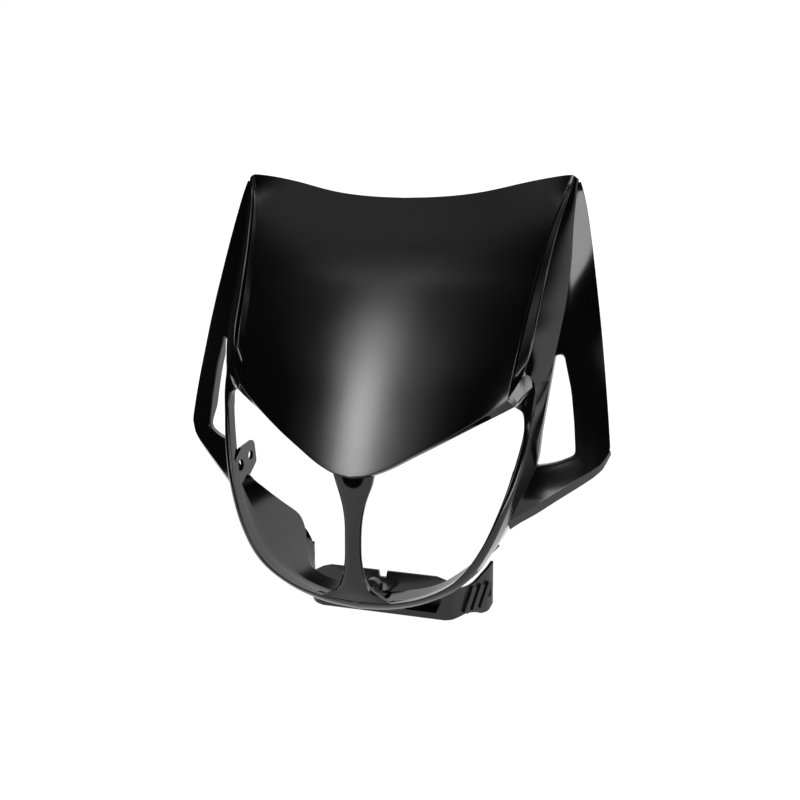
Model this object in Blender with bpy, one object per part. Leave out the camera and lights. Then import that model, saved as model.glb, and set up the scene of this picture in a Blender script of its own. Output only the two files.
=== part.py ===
"""Headlight mask of a motorcycle: a number plate panel over two lamp openings, flared side
wings with three-sided windows, a skirt behind the rim, and the bracket under it.

Made for Blender 4.5, in metres, +Z up. The front of the mask faces -Y and the object is
symmetric about x = 0. Tables below are real sizes in millimetres, measured from the lowest
point of the panel; the finished object is then moved so its base centre is the origin.
"""

import math

import bpy
import numpy as np

MM = 0.001

# Driving dimensions in millimetres
WALL = 2.0                 # wall of the shell moulding
BRACKET_WALL = 2.6         # wall of the bracket moulding
GUTTER_DEPTH = 3.0         # gutter between the panel and its crest
FACET_BULGE = 2.4          # how far the side facet swells at its lower end
RIM_BULGE = 0.9            # roundness of the rim's face
POST_FLANGE = 9.0          # return behind the rim and posts
PILLAR_FLANGE = 2.0        # return behind the pillar's sides
PILLAR_FOOT_FLANGE = 3.6   # the same where the pillar widens into the rim
TOP_FLANGE = 3.5           # return behind the panel's lower wall
ROOT_RETURN = 6.0          # return behind the line where a wing leaves the front
WING_CHAMFER = (5.5, 7.0)  # turned-under lower edge of a wing, back and down
WINDOW_RETURN = 6.0        # return behind the edge of a wing's window
WING_SWELL = 1.4           # roundness of a wing across its width
WING_STEP = 0.4            # how far behind the front's side line a wing begins
WING_ROOT_LAP = 1.2        # how far a wing reaches into the wall it joins
SKIRT_DRAFT = 0.05         # inward lean of the skirt for each millimetre back
PANEL_ACROSS = (0.0, 0.075, 0.15, 0.27, 0.40, 0.53, 0.66, 0.79, 0.90, 1.0)
PANEL_COLUMNS = len(PANEL_ACROSS) - 1
PANEL_ROWS = 12
RIM_STEPS_PER_STATION = 2

# Panel: height against set-back on the centre line
PANEL_LEAN = ((0, 1), (40, 19.5), (80, 40), (120, 63), (155, 86), (188, 112), (206, 127))
# Panel outline: half width against height of the lower edge, and of the top edge
LOWER_EDGE = ((0, 2.2), (12, 4.0), (24, 8.4), (43, 18.7), (61, 28.9), (77, 39.0), (93, 49.6),
              (101.5, 56.0))
TOP_EDGE = ((0, 189.0), (23, 189.7), (43, 191.3), (57, 193.2), (71, 196.0), (86, 199.6),
            (103, 203.2), (114, 205.2), (121, 206.2), (124.8, 206.0))
# Lines down each side: height against half width and set-back
PANEL_SIDE = ((56, 101.5, 39.3), (80, 103.8, 49.5), (118, 107.4, 69.8), (144, 110.7, 83.4),
              (171, 115.5, 98.6), (190, 120.6, 109.6), (205.6, 124.8, 115.3))
CREST = ((73.6, 111.3, 48.0), (89, 113.8, 54.7), (116, 115.6, 68.7), (143, 117.8, 83.3),
         (171, 121.1, 98.4), (190, 124.4, 109.4), (204.6, 127.2, 116.2))
WING_ROOT = ((-36, 101.2, 41.8), (-18, 108.3, 44.5), (9, 118.6, 52.8), (33, 121.3, 56.2),
             (50, 123.3, 59.3), (82, 126.7, 67.6), (120, 129.6, 87.2), (145, 129.9, 98.0),
             (172, 128.9, 107.2), (205.5, 129.3, 118.5))
WING_BACK = ((-36, 170.5, 71.5), (16, 165.2, 79.0), (39.7, 162.4, 82.9), (70.6, 158.0, 89.1),
             (101.5, 153.1, 95.5), (132.2, 147.5, 102.3), (162.8, 141.4, 109.4),
             (178.1, 138.0, 113.0), (190, 134.9, 115.3), (198, 132.2, 116.6), (204, 129.8, 117.6))

# Stations round the rim, from the panel's outer corner down to the bottom of the chin: the
# lamp opening's edge, the rim's outer edge, and the side wall where the wing joins it
RIM = (((105.5, 43.0, 50.8), (118.5, 50.5, 69.5), (125.3, 62.3, 70.0)),
       ((110.8, 42.0, 47.5), (119.0, 49.5, 59.5), (124.2, 60.4, 59.5)),
       ((112.5, 41.3, 40.0), (118.6, 47.0, 47.5), (123.0, 58.8, 47.5)),
       ((112.0, 40.0, 29.5), (117.2, 43.7, 33.0), (121.3, 56.2, 33.0)),
       ((107.5, 33.5, 7.4), (113.0, 35.8, 9.0), (118.6, 52.8, 9.0)),
       ((100.3, 23.9, -19.0), (105.9, 27.9, -18.5), (108.3, 44.5, -18.5)),
       ((89.3, 17.4, -45.5), (94.4, 22.0, -47.0), (95.0, 39.0, -47.5)),
       ((73.5, 13.5, -67.5), (78.5, 19.2, -70.5), (78.8, 36.0, -71.0)),
       ((51.5, 11.3, -81.2), (54.0, 16.9, -85.7), (54.0, 33.0, -86.7)),
       ((26.0, 11.0, -88.7), (27.0, 16.6, -94.3), (27.0, 33.0, -95.3)),
       ((0.0, 11.5, -91.0), (0.0, 17.5, -97.5), (0.0, 33.0, -98.4)))
# Rear edge of the skirt: station number against set-back
SKIRT_REAR = ((4.5, 52.0), (5.0, 56.0), (5.5, 70.5), (6.0, 85.0), (6.5, 96.5), (7.0, 91.0),
              (7.5, 72.0), (8.0, 53.0), (8.3, 50.5), (9.0, 50.0), (10.0, 50.0))
# Free edge of the lip that the skirt's rear corner turns in to: station against half width,
# set-back and height
LIP_EDGE = ((6.75, 77.5, 96.0, -65.5), (7.0, 73.0, 92.5, -69.0), (7.25, 66.0, 86.0, -75.0),
            (7.5, 61.0, 78.0, -79.5), (7.75, 56.8, 68.0, -83.4), (8.0, 52.6, 56.5, -86.4))

# Pillar: height against half width and set-back of its face
PILLAR = ((-6, 13.0, 7.9), (-12, 10.8, 7.0), (-18, 8.9, 6.2), (-26, 7.2, 5.4), (-46, 6.0, 4.3),
          (-61, 6.6, 4.5), (-74, 9.4, 5.5), (-81, 13.6, 7.2))
PILLAR_COLUMNS = 2

# Lower edge of a wing before its turned-under part: half width against height
WING_LOWER = ((100, -32.0), (108, -26.2), (117.8, -20.2), (132.8, -9.9), (148.6, 0.2),
              (156.3, 5.2), (161, 9.6), (164.2, 16.0))
WING_TOP = 200.6
ROOT_TOP = 202.8           # where the facet and the wing's root end at the top corner
WING_COLUMNS = (0.0, 0.14, 0.32, 0.5, 0.68, 0.82, 0.92, 1.0)
WING_ROWS = 16
# Window of a wing: half width, height and corner radius; its front side is the wall itself
WINDOW = ((112.0, 8.2, 0.0), (124.0, 9.2, 4.0), (132.0, 10.8, 20.0), (142.9, 15.2, 4.5),
          (141.0, 36.5, 60.0), (138.0, 58.8, 60.0), (131.6, 85.0, 3.2), (118.0, 79.0, 0.0))

# Openings in the floor behind the rim: half width, set-back and corner radius
FLOOR_CUT = 5.5            # how far the cuts reach under the floor
NOTCH_RISE = 4.9           # how far the notch's cut reaches over the floor's underside
SLOT_RISE = 8.4            # how far the slots' cuts do
FLOOR_NOTCH = ((-10.5, 23.0, 2.0), (10.5, 23.0, 2.0), (10.5, 55.0, 0.0), (-10.5, 55.0, 0.0))
FLOOR_SLOT = ((15.0, 23.0, 1.0), (36.0, 23.5, 1.0), (34.0, 28.0, 2.0), (17.0, 28.0, 2.0))

# Lug inside the skirt, and its two holes: set-back, height and diameter
LUG_STATION = 4.5          # place round the rim that a lug stands level with
LUG_INSET = 0.1            # how far the lug's middle is inside the lamp opening's edge there
LUG_THICKNESS = 2.6
LUG_OUTLINE = ((36.0, -21.0, 0.0), (53.0, -21.0, 3.0), (69.5, -9.5, 4.0), (66.0, 9.0, 5.0),
               (36.0, 5.0, 0.0))
LUG_HOLES = ((43.5, -7.0, 9.0), (59.5, -2.5, 7.5))

# Bracket
PLATE_SET_BACK = 64.0
PLATE_TOP = -83.5
PLATE_BOTTOM = -116.5
NOTCH_HALF_WIDTH = 4.5
NOTCH_DEPTH = 5.0
SIDE_PATH = ((49.0, 64.0), (54.5, 65.0), (58.8, 68.5), (62.5, 75.0), (66.5, 82.0),
             (70.2, 89.0), (73.0, 95.0), (74.6, 101.0))
SIDE_TOP = (-85.5, -88.5, -91.0, -92.0, -90.0, -85.5, -82.0, -79.0)
SIDE_BOTTOM = (-116.5, -115.5, -114.0, -113.0, -114.0, -116.5, -116.0, -112.0)
BOSS_SET_BACK = 41.5
BOSS_HEIGHT = -90.0
BOSS_RADIUS = 6.5
BOSS_LENGTH = 7.0
BOSS_HOLE = 4.4
TONGUE_HALF_WIDTH = 12.0
TONGUE_BOTTOM = -93.5
TONGUE_THICKNESS = 2.6
RIB = ((68.5, -112.5), (72.5, -112.5), (84.0, -88.5), (80.0, -88.5))
RIB_HEIGHT = 2.4
BRACKET_WINDOW = ((17.0, -111.5), (42.0, -111.5), (47.0, -100.0), (20.0, -100.0))
SLOT_SET_BACK = 96.0
SLOT_HEIGHT = -101.0
SLOT_LENGTH = 9.0
SLOT_WIDTH = 4.0


def along(stations, key):
    """The values of a station table at key, on a smooth curve through its stations."""
    table = np.array(stations, float)
    keys = table[:, 0]
    values = table[:, 1:]
    steps = np.diff(keys)
    slopes = np.diff(values, axis=0) / steps[:, None]
    tangents = np.empty_like(values)
    tangents[0] = slopes[0]
    tangents[-1] = slopes[-1]
    before, after = steps[:-1, None], steps[1:, None]
    tangents[1:-1] = (slopes[:-1] * after + slopes[1:] * before) / (before + after)
    if key <= keys[0]:
        result = values[0] + tangents[0] * (key - keys[0])
    elif key >= keys[-1]:
        result = values[-1] + tangents[-1] * (key - keys[-1])
    else:
        i = int(np.searchsorted(keys, key, side="right")) - 1
        h = steps[i]
        t = (key - keys[i]) / h
        result = ((2 * t ** 3 - 3 * t ** 2 + 1) * values[i]
                  + (t ** 3 - 2 * t ** 2 + t) * h * tangents[i]
                  + (3 * t ** 2 - 2 * t ** 3) * values[i + 1]
                  + (t ** 3 - t ** 2) * h * tangents[i + 1])
    return result if len(result) > 1 else float(result[0])


def mix(a, b, t):
    return a + (b - a) * t


def point(x, y, z):
    return np.array((x, y, z), float)


def side_point(table, height):
    x, y = along(table, height)
    return point(x, y, height)


def panel_point(across, up):
    """A point of the panel: across runs from the centre line to the side, up from 0 to 1."""
    low_half = PANEL_SIDE[0][1]
    top_half = PANEL_SIDE[-1][1]
    edge_height = mix(PANEL_SIDE[0][0], PANEL_SIDE[-1][0], up)
    edge_x, edge_y = along(PANEL_SIDE, edge_height)
    z = mix(along(LOWER_EDGE, across * low_half), along(TOP_EDGE, across * top_half), up)
    x = across * edge_x
    held = max(z, PANEL_SIDE[0][0])
    side_x, side_y = along(PANEL_SIDE, held)
    bow = side_y - along(PANEL_LEAN, held)
    flare = mix(2.0, 7.0, min(1.0, max(0.0, (held - 130.0) / 60.0)))
    y = along(PANEL_LEAN, z) + bow * (x / side_x) ** flare
    return mix(point(x, y, z), point(edge_x, edge_y, edge_height), across ** 8)


def side_columns(up):
    """Gutter, crest and facet points beside the panel at one row."""
    edge = panel_point(1.0, up)
    crest = side_point(CREST, mix(CREST[0][0], CREST[-1][0], up))
    root = side_point(WING_ROOT, mix(70.0, ROOT_TOP, up))
    tip = np.array(RIM[0][1])
    bulge = mix(FACET_BULGE, 0.4, min(1.0, up * 3.0))
    facet = mix(crest, root, 0.5) + np.array((0.74, -0.67, 0.0)) * bulge
    facet = mix(tip, facet, min(1.0, up * 5.0) ** 0.7)
    depth = mix(GUTTER_DEPTH, 0.7, up ** 1.5)
    drop = np.array((0.0, depth, 0.0))
    return [mix(edge, crest, 0.28) + drop, mix(edge, crest, 0.7) + drop * 0.8, crest,
            facet, mix(facet, root, 0.5), root]


def rim_station(place):
    """Opening edge, outer edge and wing line at a place given in station numbers."""
    rows = []
    for which in range(3):
        table = [(k,) + tuple(RIM[k][which]) for k in range(len(RIM))]
        rows.append(np.array(along(table, place)))
    if rows[2][2] > WING_ROOT[1][0]:
        rows[2] = side_point(WING_ROOT, rows[2][2])
    return rows


def skirt_rear(place):
    """Rear edge of the skirt, or of the short return above it, at a place round the rim."""
    _, outer, root = rim_station(place)
    set_back = along(SKIRT_REAR, place) if place > SKIRT_REAR[0][0] else root[1] + ROOT_RETURN
    if place < SKIRT_REAR[1][0]:
        return root + np.array((0.0, set_back - root[1], 0.0))
    depth = set_back - outer[1]
    ahead, behind = rim_station(place - 0.05)[1], rim_station(place + 0.05)[1]
    run = (behind - ahead) / np.linalg.norm(behind - ahead)
    inward = np.array((run[2], 0.0, -run[0]))
    return outer + np.array((0.0, depth, 0.0)) + inward * depth * SKIRT_DRAFT * min(1, 10 - place)


def split_quads(places, faces):
    """The faces with every four-sided one cut along its shorter diagonal, so all are flat."""
    flat = []
    for face in faces:
        if len(face) != 4:
            flat.append(face)
            continue
        a, b, c, d = face
        if np.linalg.norm(places[a] - places[c]) <= np.linalg.norm(places[b] - places[d]):
            flat += [[a, b, c], [a, c, d]]
        else:
            flat += [[a, b, d], [b, c, d]]
    return flat


class Sheet:
    """A surface made of four-sided patches whose shared edges are merged."""

    def __init__(self):
        self.points = []
        self.pushes = []
        self.faces = []
        self.index = {}

    def at(self, place, push=None):
        key = tuple(int(round(float(c) * 10000)) for c in place)
        if key not in self.index:
            self.index[key] = len(self.points)
            self.points.append(np.array(place, float))
            self.pushes.append(push)
        return self.index[key]

    def patch(self, rows):
        """Rows of points; seen from outside, rows go up as columns go to the left."""
        numbers = [[self.at(p) for p in row] for row in rows]
        for r in range(len(numbers) - 1):
            for c in range(len(numbers[r]) - 1):
                ring = [numbers[r][c], numbers[r][c + 1], numbers[r + 1][c + 1],
                        numbers[r + 1][c]]
                clean = [n for i, n in enumerate(ring) if n != ring[i - 1]]
                if len(clean) > 2:
                    self.faces.append(clean)

    def normals(self):
        """Even-thickness directions at the points, from the faces round each."""
        place = np.array(self.points)
        total = np.zeros_like(place)
        gathered = [[] for _ in self.points]
        for face in self.faces:
            ring = place[face]
            n = np.zeros(3)
            for i in range(len(face)):
                n += np.cross(ring[i - 1], ring[i])
            n /= np.linalg.norm(n)
            for i, number in enumerate(face):
                a = ring[i - 1] - ring[i]
                b = ring[(i + 1) % len(face)] - ring[i]
                cosine = a @ b / (np.linalg.norm(a) * np.linalg.norm(b))
                total[number] += n * math.acos(max(-1.0, min(1.0, cosine)))
                gathered[number].append(n)
        length = np.linalg.norm(total, axis=1)
        unit = total / length[:, None]
        for i, around in enumerate(gathered):
            lean = min(float(unit[i] @ n) for n in around)
            unit[i] *= 1.0 / max(lean, 0.72)
            if abs(place[i, 0]) < 1e-6:
                unit[i, 0] = 0.0
        return unit

    def thick(self, wall, open_edges_on_centre=True, fill=None):
        """Vertices and faces of the sheet given a wall behind it."""
        place = np.array(self.points)
        back = place - self.normals() * wall
        if fill:
            for number, target in fill.items():
                back[number] = target
        count = len(place)
        faces = [list(f) for f in self.faces]
        faces += [[n + count for n in reversed(f)] for f in self.faces]
        edges = {}
        for face in self.faces:
            for i in range(len(face)):
                edges[(face[i - 1], face[i])] = True
        for a, b in edges:
            if (b, a) in edges:
                continue
            centre = abs(place[a, 0]) < 1e-6 and abs(place[b, 0]) < 1e-6
            if centre and open_edges_on_centre:
                continue
            faces.append([b, a, a + count, b + count])
        places = np.vstack((place, back))
        return places, split_quads(places, faces)


def material(name, colour, roughness):
    made = bpy.data.materials.new(name)
    made.use_nodes = True
    shader = made.node_tree.nodes["Principled BSDF"]
    shader.inputs["Base Color"].default_value = (*colour, 1.0)
    shader.inputs["Roughness"].default_value = roughness
    shader.inputs["Metallic"].default_value = 0.0
    made.diffuse_color = (*colour, 1.0)
    return made


def add_object(name, places, faces, finish=None):
    mesh = bpy.data.meshes.new(name)
    mesh.from_pydata([tuple(p * MM) for p in places], [], faces)
    mesh.validate()
    if finish:
        mesh.materials.append(finish)
    made = bpy.data.objects.new(name, mesh)
    bpy.context.scene.collection.objects.link(made)
    return made


def as_helper(made):
    made.hide_render = True
    made.display_type = "WIRE"
    return made


def mirror(made):
    step = made.modifiers.new("Other side", "MIRROR")
    step.use_axis = (True, False, False)
    step.merge_threshold = 0.0001
    return step


def boolean(made, helper, operation, name):
    step = made.modifiers.new(name, "BOOLEAN")
    step.operation = operation
    step.solver = "EXACT"
    step.object = helper
    return step


def prism(name, outline, axis, low, high):
    """A closed prism of an outline of pairs, drawn across one axis."""
    places = []
    for level in (low, high):
        for a, b in outline:
            places.append({"x": point(level, a, b), "y": point(a, level, b),
                           "z": point(a, b, level)}[axis])
    n = len(outline)
    faces = [list(range(n)), list(range(2 * n - 1, n - 1, -1))]
    faces += [[i, i + n, (i + 1) % n + n, (i + 1) % n] for i in range(n)]
    area = sum(outline[i - 1][0] * outline[i][1] - outline[i][0] * outline[i - 1][1]
               for i in range(n))
    if (area > 0) != (axis == "y"):
        faces = [list(reversed(f)) for f in faces]
    return add_object(name, places, faces)


def circle(centre, radius, count):
    return [(centre[0] + radius * math.cos(2 * math.pi * i / count),
             centre[1] + radius * math.sin(2 * math.pi * i / count)) for i in range(count)]


def build_face():
    """Right half of the front moulding, from the panel to the skirt, as one sheet."""
    sheet = Sheet()
    rows = []
    for r in range(PANEL_ROWS + 1):
        up = r / PANEL_ROWS
        row = [panel_point(across, up) for across in PANEL_ACROSS]
        rows.append(row + side_columns(up))
    sheet.patch([list(reversed(r)) for r in rows])
    inside = {}
    for row in rows:
        edge_x = row[PANEL_COLUMNS][0]
        width = row[-1][0] - edge_x
        squeeze = (width - WALL * 0.95) / width
        for spot in row[PANEL_COLUMNS + 1:]:
            reach = spot[0] - edge_x
            back = WALL * mix(1.1, 0.5, reach / width)
            inside[sheet.at(spot)] = point(edge_x + reach * squeeze, spot[1] + back, spot[2])

    # Wall under the panel, ending at the tip of the scoop
    tip_column = PANEL_COLUMNS + 4
    upper = rows[0][:tip_column + 1]
    base = []
    corner, tip, _ = rim_station(0)
    for c, p in enumerate(upper):
        if c <= PANEL_COLUMNS:
            share = p[0] / PANEL_SIDE[0][1]
            drop = np.array((0.0, 7.6, -3.4)) * (1 - share) + np.array((4.0, 3.7, -5.2)) * share ** 3
            drop += np.array((0.0, 8.0, -2.4)) * (share - share ** 3)
            base.append(mix(p + drop, corner, share ** 12))
        else:
            part = (c - PANEL_COLUMNS) / 4
            base.append(mix(corner, tip, part) + np.array((1.2, 0.6, -2.6)) * 4 * part * (1 - part))
    width = np.linalg.norm((tip - corner)[[0, 2]])
    for c in range(PANEL_COLUMNS, tip_column):
        share = mix(WALL / width, 1 - WALL / width, (c - PANEL_COLUMNS) / 4)
        inside[sheet.at(base[c])] = mix(corner, tip, share) + np.array((0.0, WALL * 1.15, 0.0))
    middle = [mix(a, b, 0.5) + np.array((0.0, 0.6, -0.5)) * (c < tip_column)
              for c, (a, b) in enumerate(zip(upper, base))]
    sheet.patch([list(reversed(base)), list(reversed(middle)), list(reversed(upper))])

    # Face of the post and rim
    steps = (len(RIM) - 1) * RIM_STEPS_PER_STATION
    face_rows = [base[PANEL_COLUMNS:]]
    for k in range(1, steps + 1):
        inner, outer, _ = rim_station(k / RIM_STEPS_PER_STATION)
        width = np.linalg.norm((outer - inner)[[0, 2]])
        edge = min(0.42, WALL / width)
        row = []
        for f in (0.0, 0.16, 0.5, 0.84, 1.0):
            p = mix(inner, outer, f) + np.array((0.3, -1.0, 0.0)) * RIM_BULGE * 4 * f * (1 - f)
            behind = mix(inner, outer, mix(edge, 1 - edge, f)) + np.array((0.0, WALL * 1.15, 0.0))
            if k == steps:
                p[0] = behind[0] = 0.0
            row.append(p)
            inside[sheet.at(p)] = behind
        face_rows.append(row)
    sheet.patch(face_rows)

    # Side wall of the post and rim, then the return behind it that grows into the skirt
    wall_rows = []
    for k in range(steps + 1):
        place = k / RIM_STEPS_PER_STATION
        _, outer, root = rim_station(place)
        middle_point = mix(outer, root, 0.5) if k else rows[0][-2]
        wall_rows.append([outer, middle_point, root, skirt_rear(place)])
    sheet.patch(wall_rows)
    upper_return = [[row[-1], row[-1] + np.array((0.0, mix(ROOT_RETURN, 2.5, r / PANEL_ROWS), 0))]
                    for r, row in enumerate(rows)]
    sheet.patch(upper_return)

    # Pillar, from under the panel's tip to the bottom of the rim
    last = PILLAR_COLUMNS
    foot = [face_rows[steps - c][0] for c in range(last + 1)]
    head = base[:last + 1]
    levels = [head]
    for height, half, set_back in PILLAR:
        levels.append([point(half * c / last, set_back + 2.2 * (c / last) ** 2, height)
                       for c in range(last + 1)])
    levels.append(foot)
    sheet.patch([list(reversed(r)) for r in reversed(levels)])

    # Return that runs back all round the lamp opening
    loop = [(p, TOP_FLANGE) for p in base[last:PANEL_COLUMNS + 1]]
    for k in range(1, steps - last + 1):
        depth = min(POST_FLANGE, mix(TOP_FLANGE, POST_FLANGE, k / 4))
        loop.append((face_rows[k][0], min(depth, mix(5.0, POST_FLANGE, (steps - last - k) / 2))))
    for i, level in enumerate(reversed(levels[1:-1])):
        loop.append((level[last], PILLAR_FOOT_FLANGE if i == 0 else PILLAR_FLANGE))
    loop.append(loop[0])
    front = [p for p, _ in loop]
    behind = [p + np.array((0.0, depth, 0.0)) for p, depth in loop]
    sheet.patch([behind, front])
    return sheet, inside


def wing_height(x, z):
    """Set-back of the wing's surface."""
    root_x, root_y = along(WING_ROOT, z)
    back_x, back_y = along(WING_BACK, z)
    t = (x - root_x) / max(back_x - root_x, 1.0)
    swell = WING_SWELL * min(1.0, (back_x - root_x) / 20)
    step = WING_STEP * (1 - min(1.0, t))
    return mix(root_y, back_y, t) + step - swell * 4 * max(0.0, t * (1 - t))


def build_wing():
    """Right wing from its root to its back edge, with its turned-under lower edge."""
    columns = []
    for t in WING_COLUMNS:
        low = 0.0
        for _ in range(12):
            low_x = mix(along(WING_ROOT, low)[0], along(WING_BACK, low)[0], t)
            low = along(WING_LOWER, low_x)
        column = []
        for r in range(WING_ROWS + 1):
            z = mix(low, WING_TOP, r / WING_ROWS)
            root_x = along(WING_ROOT, z)[0] - WING_ROOT_LAP
            x = mix(root_x, along(WING_BACK, z)[0], t)
            column.append(point(x, wing_height(x, z), z))
        back, down = WING_CHAMFER
        foot = column[0] + np.array((0.0, back, -down)) * (1 - 0.5 * t ** 6)
        columns.append([foot] + column)
    sheet = Sheet()
    sheet.patch(columns)
    return sheet


def rounded(corners):
    """An outline of pairs from corners of (a, b, radius)."""
    outline = []
    n = len(corners)
    for i in range(n):
        here = np.array(corners[i][:2], float)
        radius = corners[i][2]
        before = np.array(corners[i - 1][:2]) - here
        after = np.array(corners[(i + 1) % n][:2]) - here
        before /= np.linalg.norm(before)
        after /= np.linalg.norm(after)
        opening = math.acos(max(-1.0, min(1.0, before @ after)))
        turn = math.pi - opening
        if radius <= 0 or turn < 0.02:
            outline.append(tuple(here))
            continue
        reach = radius * math.tan(turn / 2)
        middle = (before + after) / np.linalg.norm(before + after)
        centre = here + middle * radius / math.cos(turn / 2)
        start, end = here + before * reach - centre, here + after * reach - centre
        count = max(1, round(math.degrees(turn) / 22))
        for k in range(count + 1):
            share = k / count
            spoke = (start * math.sin((1 - share) * turn) + end * math.sin(share * turn))
            outline.append(tuple(centre + spoke / math.sin(turn)))
    return outline


def window_pad():
    """Slab behind the wing from which the window's return is left when the window is cut."""
    edge = rounded(WINDOW)
    middle = np.mean(np.array(edge), axis=0)
    wider = []
    for i, spot in enumerate(edge):
        spot = np.array(spot)
        run = np.array(edge[(i + 1) % len(edge)]) - np.array(edge[i - 1])
        out = np.array((run[1], -run[0])) / np.linalg.norm(run)
        if out @ (spot - middle) < 0:
            out = -out
        wider.append(spot + out * WALL)
    front, behind = [], []
    for x, z in wider:
        x = max(x, along(WING_ROOT, z)[0] - WING_ROOT_LAP)
        front.append(point(x, wing_height(x, z) + WALL * 0.5, z))
        behind.append(point(x, wing_height(x, z) + WINDOW_RETURN, z))
    n = len(wider)
    hub_x, hub_z = middle
    hub = [point(hub_x, wing_height(hub_x, hub_z) + d, hub_z) for d in (WALL * 0.5, WINDOW_RETURN)]
    places = front + behind + hub
    faces = []
    for i in range(n):
        j = (i + 1) % n
        faces.append([i, j, 2 * n])
        faces.append([j + n, i + n, 2 * n + 1])
        faces.append([j, i, i + n, j + n])
    return add_object("window_pad", places, faces)


def turn_outward(sheet, probe):
    """Make all faces agree with their neighbours, then face the whole sheet to the probe."""
    users = {}
    for number, face in enumerate(sheet.faces):
        for i in range(len(face)):
            users.setdefault(frozenset((face[i - 1], face[i])), []).append(number)
    done = [False] * len(sheet.faces)
    for start in range(len(sheet.faces)):
        if done[start]:
            continue
        done[start] = True
        queue = [start]
        while queue:
            face = sheet.faces[queue.pop()]
            for i in range(len(face)):
                a, b = face[i - 1], face[i]
                for other in users[frozenset((a, b))]:
                    if done[other]:
                        continue
                    ring = sheet.faces[other]
                    if any(ring[k - 1] == a and ring[k] == b for k in range(len(ring))):
                        ring.reverse()
                    done[other] = True
                    queue.append(other)
    place = np.array(sheet.points)
    total = np.zeros(3)
    for face in sheet.faces:
        ring = place[face]
        for i in range(len(face)):
            total += np.cross(ring[i - 1] - ring[0], ring[i] - ring[0])
    if total @ np.array(probe) < 0:
        sheet.faces = [list(reversed(f)) for f in sheet.faces]


def build_lip():
    """Turned-in lip along the skirt's lower rear edge, right side."""
    rows = []
    first, last = LIP_EDGE[0][0], LIP_EDGE[-1][0]
    for k in range(11):
        place = mix(first, last, k / 10)
        edge = skirt_rear(place) + np.array((0.0, -0.8, 0.0))
        free = np.array(along(LIP_EDGE, place))
        rows.append([edge, mix(edge, free, 0.5), free])
    sheet = Sheet()
    sheet.patch(rows)
    turn_outward(sheet, (0.0, -1.0, 0.0))
    return sheet


def plate_sheet():
    """Right half of the bracket: front plate, rounded corner, side wall and rear lug."""
    sheet = Sheet()
    columns = []
    for x in (0.0, 10.0, 22.0, 34.0):
        columns.append((x, PLATE_SET_BACK, PLATE_BOTTOM, PLATE_TOP))
    for (x, y), low, high in zip(SIDE_PATH, SIDE_BOTTOM, SIDE_TOP):
        columns.append((x, y, low, high))
    rows = []
    for r in range(4):
        rows.append([point(x, y, mix(low, high, r / 3)) for x, y, low, high in columns])
    sheet.patch([list(reversed(r)) for r in rows])
    return sheet


def build_bracket(finish):
    sheet = plate_sheet()
    turn_outward(sheet, (0.3, -1.0, 0.0))
    places, faces = sheet.thick(BRACKET_WALL)
    made = add_object("lower_bracket", places, faces, finish)
    mirror(made)

    ribs = []
    rib = prism("bracket_rib", RIB, "x", -1.0, RIB_HEIGHT)
    for vertex in rib.data.vertices:
        wall_x = np.interp(vertex.co.y / MM, [p[1] for p in SIDE_PATH], [p[0] for p in SIDE_PATH])
        vertex.co.x += float(wall_x) * MM
    mirror(rib)
    ribs.append(as_helper(rib))

    front, behind = BOSS_SET_BACK + 0.5, PLATE_SET_BACK + 1.0
    tongue = prism("bracket_tongue", rounded([(-TONGUE_HALF_WIDTH, front, 5.0),
                                              (TONGUE_HALF_WIDTH, front, 5.0),
                                              (TONGUE_HALF_WIDTH, behind, 0.0),
                                              (-TONGUE_HALF_WIDTH, behind, 0.0)]),
                   "z", TONGUE_BOTTOM, TONGUE_BOTTOM + TONGUE_THICKNESS)
    ribs.append(as_helper(tongue))
    boss = prism("bracket_boss", circle((0.0, BOSS_HEIGHT), BOSS_RADIUS, 24), "y",
                 BOSS_SET_BACK, BOSS_SET_BACK + BOSS_LENGTH)
    ribs.append(as_helper(boss))
    for helper in ribs:
        boolean(made, helper, "UNION", "Join " + helper.name)

    cuts = []
    window = prism("bracket_window", BRACKET_WINDOW, "y", PLATE_SET_BACK - 5, PLATE_SET_BACK + 8)
    mirror(window)
    cuts.append(window)
    notch = prism("bracket_notch", [(-NOTCH_HALF_WIDTH, PLATE_TOP + 5),
                                    (-NOTCH_HALF_WIDTH * 0.6, PLATE_TOP - NOTCH_DEPTH),
                                    (NOTCH_HALF_WIDTH * 0.6, PLATE_TOP - NOTCH_DEPTH),
                                    (NOTCH_HALF_WIDTH, PLATE_TOP + 5)],
                  "y", PLATE_SET_BACK - 5, PLATE_SET_BACK + 8)
    cuts.append(notch)
    round_end = [(SLOT_SET_BACK + SLOT_WIDTH / 2 * math.cos(a),
                  SLOT_HEIGHT + math.copysign(SLOT_LENGTH / 2 - SLOT_WIDTH / 2, math.sin(a))
                  + SLOT_WIDTH / 2 * math.sin(a))
                 for a in [math.pi * (i + 0.5) / 8 for i in range(16)]]
    slot = prism("bracket_slot", round_end, "x", 60.0, 80.0)
    mirror(slot)
    cuts.append(slot)
    hole = prism("boss_hole", circle((0.0, BOSS_HEIGHT), BOSS_HOLE / 2, 16), "y",
                 BOSS_SET_BACK - 3, BOSS_SET_BACK + BOSS_LENGTH + 3)
    cuts.append(hole)
    for helper in cuts:
        boolean(made, as_helper(helper), "DIFFERENCE", "Cut " + helper.name)
    return made


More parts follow.
